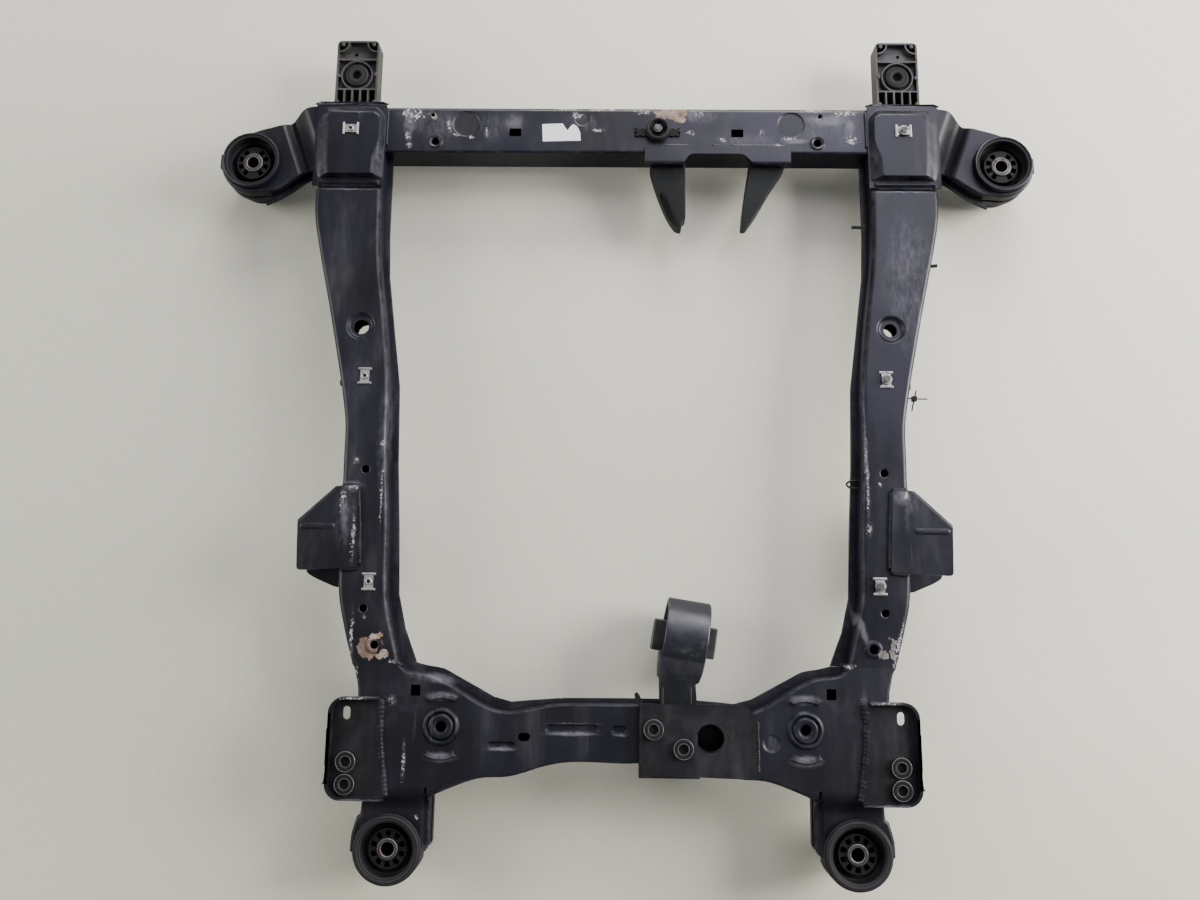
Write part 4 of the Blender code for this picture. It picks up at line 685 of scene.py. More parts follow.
def applied(mesh, *steps):
    """The mesh with modifiers applied. A step is a kind and its settings."""
    temporary = bpy.data.objects.new("temporary", mesh)
    bpy.context.scene.collection.objects.link(temporary)
    helpers = []
    for kind, settings in steps:
        modifier = temporary.modifiers.new(kind, kind)
        for label, value in settings.items():
            if isinstance(value, bpy.types.Mesh):
                other = bpy.data.objects.new("cutter", value)
                bpy.context.scene.collection.objects.link(other)
                helpers.append(other)
                value = other
            setattr(modifier, label, value)
    bpy.context.view_layer.update()
    shown = temporary.evaluated_get(bpy.context.evaluated_depsgraph_get())
    made = bpy.data.meshes.new_from_object(shown)
    for old in (temporary, *helpers):
        bpy.data.objects.remove(old)
    return made


def cut_from(mesh, *cutters, operation='DIFFERENCE'):
    for cutter in cutters:
        mesh = applied(mesh, ('BOOLEAN', {"operation": operation, "solver": 'EXACT', "object": cutter}))
    return mesh


def from_work(work):
    mesh = bpy.data.meshes.new("mesh")
    work.to_mesh(mesh)
    work.free()
    return mesh


def bevelled(work, width, segments=3, angle=28):
    """Rounds every sharp edge and marks the middle of each round for wear, which black paint also shows as
    a painted highlight.
    """
    work.normal_update()
    edges = [e for e in work.edges if e.is_manifold and e.calc_face_angle(0) > radians(angle)]
    made = bmesh.ops.bevel(work, geom=edges, offset=width, segments=segments, profile=0.5, affect='EDGES',
        clamp_overlap=True)
    rounds = set(made["faces"])
    layer = work.verts.layers.float.get("edge") or work.verts.layers.float.new("edge")
    for vertex in work.verts:
        if vertex.link_faces and all(face in rounds for face in vertex.link_faces):
            vertex[layer] = 1.0
    return work


class Side:
    """One side of a pressed sheet's outline: an open end, a wall, or a wall with a flange at its foot."""

    def __init__(self, points, kind="open", foot=0.0, fillet=FILLET, rim=None):
        self.points = list(points)
        self.kind = kind
        self.foot = foot
        self.fillet = 0.0 if kind == "open" else fillet
        self.rim = rim


def shell(sides, level, rings=(), holes=(), bends=(), up=1, thickness=SHEET, rounds=ROUNDS, mirror=False):
    """A pressed sheet: a face that follows level(x, y), with rounded shoulders, walls and flanges."""
    loop, spans = [], []
    for side in sides:
        for i, point in enumerate(side.points[:-1]):
            loop.append(point)
            spans.append((side, i))
    count = len(loop)
    crown = inset_loop(loop, [side.fillet for side, _ in spans])
    fillets = [max(spans[i - 1][0].fillet, spans[i][0].fillet) for i in range(count)]

    points = [Vector(p) for p in crown]
    edges = [(i, (i + 1) % count) for i in range(count)]
    pressings = []
    owners = {}
    for line, rise, *mark in (*rings, *holes):
        first = len(points)
        points += [Vector(p) for p in line]
        edges += [(first + k, first + (k + 1) % len(line)) for k in range(len(line))]
        owners.update({first + k: len(pressings) for k in range(len(line))})
        pressings.append((line, rise, mark[0] if mark else 0.0))
    for start, end in bends:
        edges.append((len(points), len(points) + 1))
        points += [Vector(start), Vector(end)]
    flat, _, faces, origins, _, _ = delaunay_2d_cdt(points, edges, [], 0, MERGE_DISTANCE)

    work = bmesh.new()
    layer = work.verts.layers.float.new("edge")
    corners = {}

    def pressing(k):
        """The rise and the mark for wear and painted highlight of the pressed line that a point lies on."""
        own = next((owners[o] for o in origins[k] if o in owners), None)
        if own is not None:
            return pressings[own][1:]
        if not origins[k]:
            for line, rise, mark in pressings:
                if on_loop(line, flat[k]):
                    return rise, mark
        return 0.0, 0.0

    def corner(k):
        if k not in corners:
            x, y = flat[k]
            rise, mark = pressing(k)
            corners[k] = work.verts.new((x, y, level(x, y) + rise))
            corners[k][layer] = mark
        return corners[k]

    used = {}
    for face in faces:
        x = sum(flat[k].x for k in face) / 3
        y = sum(flat[k].y for k in face) / 3
        if not inside(crown, x, y) or any(inside(hole[0], x, y) for hole in holes):
            continue
        work.faces.new([corner(k) for k in face])
        for a, b in zip(face, face[1:] + face[:1]):
            used[(a, b)] = True

    def places(k):
        found = {}
        for i in range(count):
            a, b = Vector(crown[i]), Vector(crown[(i + 1) % count])
            along = (b - a).length
            if along < 1e-9:
                continue
            t = (flat[k] - a).dot(b - a) / along ** 2
            if -1e-5 < t < 1 + 1e-5 and (a + (b - a) * t - flat[k]).length < ON_LINE:
                found[i] = min(max(t, 0.0), 1.0)
        return found

    columns = {}

    def column(k, i, t):
        """The points below one rim point: round the shoulder, at the foot, at the flange's rim."""
        key = (k, spans[i][0].kind == "flange")
        if key in columns:
            return columns[key]
        side, step = spans[i]
        x, y = lerp(loop[i], loop[(i + 1) % count], t)
        fillet = fillets[i] + (fillets[(i + 1) % count] - fillets[i]) * t
        top = corner(k).co.z
        foot = side.foot(x, y) if callable(side.foot) else side.foot
        other = columns.get((k, not key[1]))
        if other:
            made = list(other[:rounds + 1])
        else:
            made = []
            for turn in range(1, rounds + 1):
                a = pi / 2 * turn / rounds
                px, py = lerp(tuple(flat[k]), (x, y), sin(a))
                made.append(work.verts.new((px, py, top - up * fillet * (1 - cos(a)))))
                made[-1][layer] = sin(2 * a)
            made.append(work.verts.new((x, y, foot)))
        if side.kind == "flange":
            rx, ry = lerp(side.rim[step], side.rim[step + 1], t)
            made.append(work.verts.new((rx, ry, foot)))
            made[-1][layer] = 0.9
        columns[key] = made
        return made

    for a, b in used:
        if (b, a) in used:
            continue
        on_a, on_b = places(a), places(b)
        shared = [i for i in on_a if i in on_b]
        if not shared or spans[shared[0]][0].kind == "open":
            continue
        i = shared[0]
        first = [corner(a), *column(a, i, on_a[i])]
        last = [corner(b), *column(b, i, on_b[i])]
        for p, q, r, s in zip(first, first[1:], last[1:], last):
            work.faces.new((s, p, q, r))
    if up < 0:
        bmesh.ops.reverse_faces(work, faces=work.faces)
    if mirror:
        mirror_x(work)
    return applied(from_work(work), ('SOLIDIFY', {"thickness": thickness, "offset": -1,
        "use_even_offset": False, "use_quality_normals": True}))


def plate_work(loops, foot, top, mirror=False):
    """A flat body between two heights: the first loop is its outline and the others are holes in it."""
    points, edges = [], []
    for loop in loops:
        first = len(points)
        points += [Vector(p) for p in loop]
        edges += [(first + k, first + (k + 1) % len(loop)) for k in range(len(loop))]
    flat, _, faces, _, _, _ = delaunay_2d_cdt(points, edges, [], 0, MERGE_DISTANCE)
    work = bmesh.new()
    corners = [work.verts.new((x, y, foot)) for x, y in flat]
    kept = []
    for face in faces:
        x = sum(flat[k].x for k in face) / 3
        y = sum(flat[k].y for k in face) / 3
        if inside(loops[0], x, y) and not any(inside(loop, x, y) for loop in loops[1:]):
            kept.append(work.faces.new([corners[k] for k in face]))
    bmesh.ops.reverse_faces(work, faces=kept)
    grown = bmesh.ops.extrude_face_region(work, geom=kept, use_keep_orig=True)
    moved = [v for v in grown["geom"] if isinstance(v, bmesh.types.BMVert)]
    bmesh.ops.translate(work, verts=moved, vec=(0, 0, top - foot))
    bmesh.ops.recalc_face_normals(work, faces=work.faces)
    if mirror:
        mirror_x(work)
    return work


def plate(loops, foot, top, mirror=False, bevel=0.0):
    work = plate_work(loops, foot, top, mirror)
    if bevel:
        bmesh.ops.dissolve_limit(work, angle_limit=radians(1), verts=work.verts, edges=work.edges)
        bevelled(work, bevel)
    return from_work(work)


def rounded(profile, radius, steps=3):
    """A closed profile with rounded corners, as (r, z, mark) with a mark in the middle of each round."""
    made = []
    for i, place in enumerate(profile):
        size = place[2] if len(place) > 2 else radius
        if size <= 0:
            made.append((place[0], place[1], 0.0))
            continue
        behind, ahead = profile[i - 1][:2], profile[(i + 1) % len(profile)][:2]
        for k, v in enumerate(corner_curve(behind, place[:2], ahead, size, steps, 0.48)):
            made.append((v.x, v.y, sin(pi * k / steps)))
    return made


def lathe(profile, steps, place=(0, 0, 0), turn=None, radius=0.0008):
    """A ring turned from a closed profile of (radius, height), with rounded corners."""
    line = rounded(profile, radius)
    work = bmesh.new()
    layer = work.verts.layers.float.new("edge")
    rows = []
    for k in range(steps):
        a = tau * k / steps
        row = []
        for r, z, mark in line:
            vertex = work.verts.new((r * cos(a), r * sin(a), z))
            vertex[layer] = mark
            row.append(vertex)
        rows.append(row)
    for k in range(steps):
        a, b = rows[k], rows[(k + 1) % steps]
        for i in range(len(line)):
            j = (i + 1) % len(line)
            work.faces.new((a[i], a[j], b[j], b[i]))
    bmesh.ops.recalc_face_normals(work, faces=work.faces)
    matrix = Matrix.Translation(place)
    if turn is not None:
        matrix = matrix @ turn
    bmesh.ops.transform(work, matrix=matrix, verts=work.verts)
    return from_work(work)


def tube(points, radius, sides=8, squash=1.0):
    """A closed rod along a line of points. radius is one number, or one for each point."""
    work = bmesh.new()
    layer = work.verts.layers.float.new("edge")
    line = [Vector(p) for p in points]
    rows = []
    up = Vector((0, 0, 1))
    for k, p in enumerate(line):
        ahead = (line[min(k + 1, len(line) - 1)] - line[max(k - 1, 0)]).normalized()
        side = ahead.cross(up)
        side = side.normalized() if side.length > 1e-6 else Vector((1, 0, 0))
        over = side.cross(ahead).normalized()
        r = radius[k] if isinstance(radius, list) else radius
        turns = [tau * i / sides for i in range(sides)]
        row = [work.verts.new(p + side * r * cos(a) + over * r * squash * sin(a)) for a in turns]
        for a, vertex in zip(turns, row):
            vertex[layer] = 0.6 * max(0.0, sin(a))
        rows.append(row)
    for a, b in zip(rows, rows[1:]):
        for i in range(sides):
            j = (i + 1) % sides
            work.faces.new((a[i], a[j], b[j], b[i]))
    work.faces.new(rows[0][::-1])
    work.faces.new(rows[-1])
    bmesh.ops.recalc_face_normals(work, faces=work.faces)
    return work


def weld(name, points, radius=0.0028, finish=None, mirror=False, ripple=0.003):
    """A weld bead along a line: a low rod whose width swells with each pool."""
    line = [Vector(p) for p in points]
    places, along = [], 0.0
    step = ripple / 5
    for a, b in zip(line, line[1:]):
        length = (b - a).length
        count = max(1, round(length / step))
        for k in range(count):
            places.append((a.lerp(b, k / count), along + length * k / count))
        along += length
    places.append((line[-1], along))
    spots, widths = [], []
    for p, s in places:
        phase = (s / ripple) % 1.0
        pool = 0.86 + 0.2 * (1 - phase) ** 0.7
        drift = noise.noise(p * 60.0) * 0.0007
        taper = min(1.0, (s + 0.0008) / 0.003, (along - s + 0.0008) / 0.003)
        spots.append(p + Vector((drift, drift * 0.6, 0)))
        widths.append(radius * pool * max(taper, 0.15) * (1 + 0.18 * noise.noise(p * 140.0)))
    work = tube(spots, widths, sides=8, squash=0.62)
    if mirror:
        mirror_x(work)
    return piece(name, from_work(work), finish or PAINT_PLAIN, sharp=60)


def press_round(x, y, radius, depth, steps=40, lip=0.004):
    """Rings of a round pressing, sunk by depth, or raised by a negative one."""
    return [(circle(x, y, radius - lip * t, steps), -depth * ease(t), 0.8 * sin(pi * t))
        for t in (0.0, 0.25, 0.5, 0.75, 1.0)]


def press_loop(outer, inner, rise, steps=4):
    """Rings between two loops with the same number of points, from level to rise."""
    made = []
    for k in range(steps + 1):
        t = k / steps
        made.append(([lerp(p, q, t) for p, q in zip(outer, inner)], rise * ease(t), 0.9 * sin(pi * t)))
    return made


def press_bead(x0, x1, y, half, depth, lip=0.0035):
    return press_loop(capsule(x0, x1, y, half), capsule(x0 + lip, x1 - lip, y, half - lip), -depth)


def punched(x, y, radius, fall=0.0008, steps=28):
    """A round hole with a rolled edge: its rings and the hole itself."""
    shapes = ((0.0018, 0.0, 0.0), (0.0007, 0.3, 0.8), (0.0, 1.0, 0.6))
    made = [(circle(x, y, radius + more, steps), -fall * share, mark) for more, share, mark in shapes]
    return made[:-1], made[-1]


def raised_ring(x, y, radius, lip, rise, shares):
    """Rings of a round boss, from its foot to its crown."""
    return [(circle(x, y, radius - lip * t, 32), rise * ease(t), sin(pi * t)) for t in shares]


# Finishes, with places of wear, painted highlight and painted shade as x, y, half width, half length and
# turn in degrees

def flipped(spots):
    """The same places of wear, painted highlight and painted shade on the other side of the frame."""
    return tuple((-x, y, across, along, *(-degrees for degrees in turn))
        for x, y, across, along, *turn in spots)


# Rub patches along the saddles' crests and rear edge: rubbed paint that is also a painted highlight
SADDLE_RUBS_AND_HIGHLIGHTS = ((0.362, 0.47, 0.04, 0.0014), (0.362, 0.453, 0.026, 0.001), (0.365, 0.346, 0.038, 0.0011))
# Painted shade over each arm's valley beside the corner
ARM_SHADE = ((0.437, 0.411, 0.0125, 0.08, -19.4),)
# Rub patches along the rear plates' lips: rubbed paint that is also a painted highlight
PLATE_RUBS_AND_HIGHLIGHTS = ((0.311, -0.3015, 0.026, 0.0016), (0.31, -0.4175, 0.032, 0.0016))

PAINT_PLAIN = paint("black paint", shine=0.38)
PAINT_HORN = paint("black paint, horns", gloss=0.5, shine=0.18, tint=(0.008, 0.0092, 0.0088),
    broad_tint=(0.0135, 0.015, 0.014))
PAINT_FRONT = paint("black paint, front",
    chips=((-0.285, 0.4565, 0.019, 0.012), (-0.2908, 0.425, 0.005, 0.007), (-0.289, 0.412, 0.0045, 0.005),
        (-0.2575, 0.4537, 0.0067, 0.0058), (-0.236, 0.442, 0.004, 0.012, 10), (-0.227, 0.427, 0.006, 0.003),
        (-0.206, 0.424, 0.0055, 0.003), (-0.1857, 0.43, 0.0026, 0.0075), (-0.078, 0.4647, 0.02, 0.0024),
        (-0.0659, 0.456, 0.0121, 0.0053), (-0.0378, 0.4647, 0.0141, 0.0038),
        (-0.0375, 0.4347, 0.0093, 0.004), (-0.0191, 0.4648, 0.0067, 0.0033),
        (-0.0003, 0.4663, 0.004, 0.0029), (0.022, 0.461, 0.012, 0.005), (0.098, 0.457, 0.009, 0.005),
        (0.0851, 0.4311, 0.006, 0.004), (0.127, 0.4655, 0.0067, 0.0022), (0.1289, 0.4213, 0.004, 0.0043),
        (0.1809, 0.433, 0.0036, 0.0052), (0.216, 0.4235, 0.015, 0.003), (0.2018, 0.4146, 0.0106, 0.0033),
        (0.2521, 0.4642, 0.024, 0.004), (0.2931, 0.4608, 0.0213, 0.0065), (0.3, 0.4222, 0.01, 0.008)),
    rust=((0.0599, 0.459, 0.029, 0.01), (0.072, 0.45, 0.011, 0.006)),
    scuffs=((-0.18, 0.44, 0.023, 0.026), (-0.252, 0.445, 0.05, 0.026), (0.1, 0.455, 0.03, 0.012),
        (0.25, 0.445, 0.025, 0.028), (0.29, 0.44, 0.025, 0.03), (0.16, 0.42, 0.05, 0.012),
        (-0.06, 0.445, 0.03, 0.015)),
    discs=((-0.2137, 0.4429, 0.0165, 0.0165), (0.2198, 0.443, 0.0165, 0.0165),
        (-0.059, 0.4503, 0.0092, 0.0092)),
    rubs_and_highlights=((-0.15, 0.445, 0.013, 0.014), (0.27, 0.45, 0.028, 0.008), (0.298, 0.44, 0.006, 0.012),
        (0.225, 0.42, 0.018, 0.004), (-0.29, 0.442, 0.008, 0.016), (0.088, 0.456, 0.008, 0.008)),
    gloss=0.32, shine=0.58)
PAINT_LEFT = paint("black paint, left",
    chips=((-0.3004, 0.0051, 0.004, 0.0063), (-0.2988, -0.0589, 0.0015, 0.042),
        (-0.334, -0.05, 0.011, 0.006), (-0.33, -0.1072, 0.003, 0.0341), (-0.345, -0.0662, 0.005, 0.0149),
        (-0.3317, -0.0166, 0.004, 0.005), (-0.3265, -0.23, 0.003, 0.03), (-0.313, -0.208, 0.003, 0.003),
        (-0.276, -0.262, 0.006, 0.005)),
    rust=((-0.3075, -0.244, 0.016, 0.015), (-0.29, -0.252, 0.008, 0.006), (-0.296, -0.23, 0.01, 0.006)),
    scuffs=((-0.342, -0.09, 0.016, 0.042), (-0.3, 0.02, 0.008, 0.09), (-0.334, -0.05, 0.016, 0.009)),
    rubs_and_highlights=((-0.342, -0.085, 0.005, 0.02), (-0.336, -0.047, 0.011, 0.0045), *flipped(SADDLE_RUBS_AND_HIGHLIGHTS)),
    dull=flipped(ARM_SHADE), shine=0.48)
PAINT_RIGHT = paint("black paint, right",
    chips=((0.2988, -0.0301, 0.0018, 0.062), (0.299, -0.095, 0.004, 0.01), (0.344, -0.055, 0.006, 0.006),
        (0.3145, -0.042, 0.003, 0.003), (0.329, -0.235, 0.0035, 0.033, -14),
        (0.27, -0.262, 0.007, 0.0035, -20)),
    bare=((0.311, -0.247, 0.007, 0.009), (0.322, -0.24, 0.005, 0.018)),
    scuffs=((0.299, -0.0301, 0.0034, 0.092), (0.287, -0.2154, 0.005, 0.026, 20), (0.365, 0.22, 0.04, 0.11),
        (0.35, -0.065, 0.012, 0.016), (0.344, -0.08, 0.005, 0.02)),
    # The thin rub patches along the inner shoulder paint a highlight line there, with rubbed paint
    rubs_and_highlights=((0.2982, 0.045, 0.0009, 0.035), (0.2984, -0.025, 0.0022, 0.045),
        (0.285, -0.213, 0.004, 0.026, 16), (0.339, -0.058, 0.01, 0.01), *SADDLE_RUBS_AND_HIGHLIGHTS),
    dull=ARM_SHADE, gloss=0.33, shine=0.44)
PAINT_REAR = paint("black paint, rear",
    chips=((-0.2742, -0.3051, 0.006, 0.006), (-0.2579, -0.3757, 0.0025, 0.0225),
        (0.2862, -0.3277, 0.004, 0.034), (-0.242, -0.44, 0.003, 0.004), (-0.318, -0.278, 0.003, 0.014)),
    # The rub patches above and below the bosses lie on the crescents, the others along beads and edges:
    # rubbed paint that is also a painted highlight
    rubs_and_highlights=((-0.219, -0.2805, 0.018, 0.005, -16), (-0.2152, -0.3, 0.019, 0.0055),
        (-0.2152, -0.37, 0.019, 0.006), (0.2152, -0.3, 0.019, 0.006), (0.2152, -0.37, 0.019, 0.007),
        (-0.143, -0.36, 0.017, 0.0022), (-0.06, -0.343, 0.032, 0.002), (-0.003, -0.3435, 0.01, 0.002),
        (-0.06, -0.331, 0.032, 0.0012)),
    scuffs=((-0.143, -0.359, 0.018, 0.004), (-0.06, -0.342, 0.032, 0.004),
        (-0.24, -0.278, 0.024, 0.006, -12), (0.175, -0.35, 0.012, 0.012)),
    gloss=0.4, shine=0.44)
PAINT_WELD = paint("black paint, welds", gloss=0.36, shine=0.4, tint=(0.01, 0.01, 0.013),
    broad_tint=(0.022, 0.021, 0.026))
PAINT_PLATE = paint("black paint, plates",
    chips=((-0.32, -0.303, 0.02, 0.0015), (0.31, -0.303, 0.02, 0.0015)),
    rubs_and_highlights=(*PLATE_RUBS_AND_HIGHLIGHTS, *flipped(PLATE_RUBS_AND_HIGHLIGHTS)),
    gloss=0.46, shine=0.26, tint=(0.007, 0.0072, 0.008), broad_tint=(0.012, 0.0122, 0.014))
RUBBER = rubber("rubber")
RUBBER_DARK = rubber("dark rubber", (0.006, 0.006, 0.007), (0.012, 0.012, 0.013))
STEEL = steel("stained steel", (0.115, 0.11, 0.105), (0.042, 0.036, 0.033), 0.12)
STEEL_NUT = steel("dull nut steel", (0.16, 0.155, 0.15), (0.045, 0.038, 0.034), 0.35)
RING_STEEL = steel("bright rim steel", (0.42, 0.41, 0.4), (0.12, 0.11, 0.1), 0.2)
ZINC = zinc("zinc plate")
CASTING = casting("grey casting", (0.036, 0.034, 0.032), (0.078, 0.073, 0.07), 0.42, 0.45)
CASTING_CORE = casting("dark block steel", (0.022, 0.021, 0.02), (0.05, 0.047, 0.045), 0.38, 0.45)
# The barrel's dull patch is painted shade over the torque mount's leg, so the leg loses the sheen its ring
# keeps
BARREL = casting("smooth barrel", (0.01, 0.0095, 0.016), (0.018, 0.017, 0.028), 0.32, 0.85,
    ((0.066, -0.3, 0.045, 0.04),))
PAINT_RING = paint("black paint, rings", gloss=0.36, shine=0.5)
PLASTIC = plastic("black plastic")
PAPER = paper("bare label")
SIDE_PAINT = {"left": PAINT_LEFT, "right": PAINT_RIGHT}

# Material slots of the finishes that aren't black paint
SLOTS = {
    "rubber": (RUBBER, RUBBER_DARK, PLASTIC),
    "worn_steel": (STEEL, STEEL_NUT, RING_STEEL, CASTING_CORE),
    "zinc_plate": (ZINC,),
    "black_casting": (CASTING, BARREL),
}


# Pressed shells

def rail_rise(y):
    """Height of a rail's face without its step: a slow rise to the middle that levels off smoothly."""
    start = RAIL_STEP_Y - RAIL_STEP_RUN
    pitch = (RAIL_FACE - RAIL_FRONT_FACE) / (start - RAIL_LEVEL_Y)
    past = y - RAIL_LEVEL_Y
    if past >= RAIL_LEVEL_BLEND:
        return RAIL_FACE - pitch * past
    if past <= -RAIL_LEVEL_BLEND:
        return RAIL_FACE
    return RAIL_FACE - pitch * (past + RAIL_LEVEL_BLEND) ** 2 / (4 * RAIL_LEVEL_BLEND)


def step_shift(x):
    """How far the step of a rail moves back near the rail's sides, where its corners are round."""
    r = RAIL_STEP_CORNER
    d = max(edge_x(RAIL_INNER, RAIL_STEP_Y) + r - x, x - edge_x(RAIL_OUTER, RAIL_STEP_Y) + r, 0.0)
    return r - sqrt(max(r * r - min(d, r) ** 2, 0.0))


def rail_level(x, y):
    """Height of a rail's face: low under the saddle, then a step up and a slow rise to the middle."""
    if y >= RAIL_STEP_Y:
        return BEAM_FACE
    share = ease((RAIL_STEP_Y - step_shift(x) - y) / RAIL_STEP_RUN)
    return BEAM_FACE + (rail_rise(y) - BEAM_FACE) * share


def rail_slope(x, y):
    """Height of a rail's face as if it had no step."""
    return rail_rise(min(y, RAIL_STEP_Y - RAIL_STEP_RUN))


def rail_seam(x, y):
    return rail_slope(x, y) - FLANGE_DROP


def rail_foot(x, y):
    return rail_slope(x, y) - BOX_DEPTH


def step_bends():
    """Lines across a rail where its face changes slope: curved at the step, straight where it levels."""
    xs = [0.32 + 0.09 * k / 30 for k in range(31)]
    made = []
    for k in range(6):
        line = [(x, RAIL_STEP_Y - RAIL_STEP_RUN * k / 5 - step_shift(x)) for x in xs]
        made += list(zip(line, line[1:]))
    return made + [((0.25, RAIL_LEVEL_Y + RAIL_LEVEL_BLEND * k / 4),
        (0.45, RAIL_LEVEL_Y + RAIL_LEVEL_BLEND * k / 4)) for k in range(-4, 5)]


def rail_stations():
    """The y of each row of points along a rail, from front to rear, close together at its step."""
    step_rows = [RAIL_STEP_Y - (RAIL_STEP_RUN + RAIL_STEP_CORNER) * k / 8 for k in range(9)]
    first, last = step_rows[-1], RAIL_TAIL_Y + RAIL_TAIL_GAP / 2
    count = round((first - RAIL_TAIL_Y) / RAIL_PITCH)
    even_rows = [first + (last - first) * k / count for k in range(1, count + 1)]
    return [RAIL_ROOT_Y, 0.38, *step_rows, *even_rows]


def make_rail(side, mirror):
    """A side rail's upper pressing, with its holes and the boss at its tail."""
    rows = rail_stations()
    outer, inner, flange = [[(edge_x(table, y), y) for y in rows]
        for table in (RAIL_OUTER, RAIL_INNER, RAIL_FLANGE)]
    x, y = RAIL_HOLE
    rings = [(circle(x, y, 0.019 - 0.0062 * t, 40), -0.0042 * ease(t), 0.7 * sin(pi * t))
        for t in (0, 0.2, 0.4, 0.6, 0.8, 1)]
    holes = [(circle(x, y, RAIL_HOLE_R[side], 40), -0.0042, 0.5)]
    for px, py, pr in RAIL_PUNCHES:
        more, hole = punched(px, py, pr)
        rings += more
        holes.append(hole)
    px, py = RAIL_BOSS
    rings += raised_ring(px, py, 0.0115, 0.003, 0.0022, (0, 0.3, 0.7, 1))
    rings += [(circle(px, py, 0.0068 - 0.0012 * t, 32), 0.0022 - 0.001 * t, 0.7 * t) for t in (0, 1)]
    holes.append((circle(px, py, 0.005, 32), 0.0002, 0.3))
    sides = [Side(outer[::-1], "wall", rail_foot), Side([outer[0], inner[0]]),
        Side(inner, "flange", rail_seam, FILLET, flange), Side([inner[-1], outer[-1]])]
    mesh = shell(sides, rail_level, rings, holes, step_bends(), mirror=mirror)
    piece("skin_rail_" + side, mesh, SIDE_PAINT[side], ["rail_upper_" + side])


def rear_level(x, y):
    """Height of the rear crossmember's face: a dip in the middle and legs that step down to the bushes."""
    if abs(x) < DIP_OUTER_X:
        return RAIL_FACE - CENTRE_DIP * ease((DIP_OUTER_X - abs(x)) / (DIP_OUTER_X - DIP_INNER_X))
    if abs(x) > LEG_BEND_X and y < LEG_BEND_Y:
        strip = ease((LEG_STRIP_X - abs(x)) / 0.004) * ease((LEG_STRIP_Y - y) / 0.01)
        drop = LEG_DROP * ease((LEG_BEND_Y - y) / (LEG_BEND_Y - LEG_FLAT_Y))
        return RAIL_FACE - drop - LEG_STRIP_DROP * strip
    return RAIL_FACE


def crescent(centre, radius, width, start, end, rise):
    """Rings of a raised arc with round ends."""
    def loop(trim):
        turn = trim / radius * 180 / pi
        outer = arc(centre, radius + width / 2 - trim, start + turn, end - turn, 20)
        inner = arc(centre, radius - width / 2 + trim, end - turn, start + turn, 20)
        return round_corners([*outer, *inner], 0.0004, 1)
    return press_loop(loop(0.0), loop(width * 0.3), rise)


BOSS_RINGS = ((0.0225, 0.0, 0), (0.0212, 0.0012, 0.6), (0.0196, 0.0024, 0.9), (0.018, 0.0026, 0.4),
    (0.0168, 0.0016, 0), (0.0158, 0.0004, 0), (0.0148, 0.001, 0.5), (0.0138, 0.0022, 1),
    (0.0124, 0.0026, 0.7), (0.0108, 0.0026, 0), (0.0082, 0.0022, 0), (0.0066, 0.0012, 0.6))
BOSS_BORE_R = 0.0057
CRESCENT_WIDTH = 0.008
CRESCENT_RISE = 0.0032
BEADS = ((-0.093, -0.028, -0.337, 0.0066), (-0.014, 0.006, -0.338, 0.0062), (-0.16, -0.126, -0.356, 0.0055))
BEAD_DEPTH = 0.0032
MOUNT_SLOT = ((0.0225, -0.3725), (0.091, -0.3725), (0.091, -0.29), (0.041, -0.29), (0.041, -0.316),
    (0.0225, -0.316))


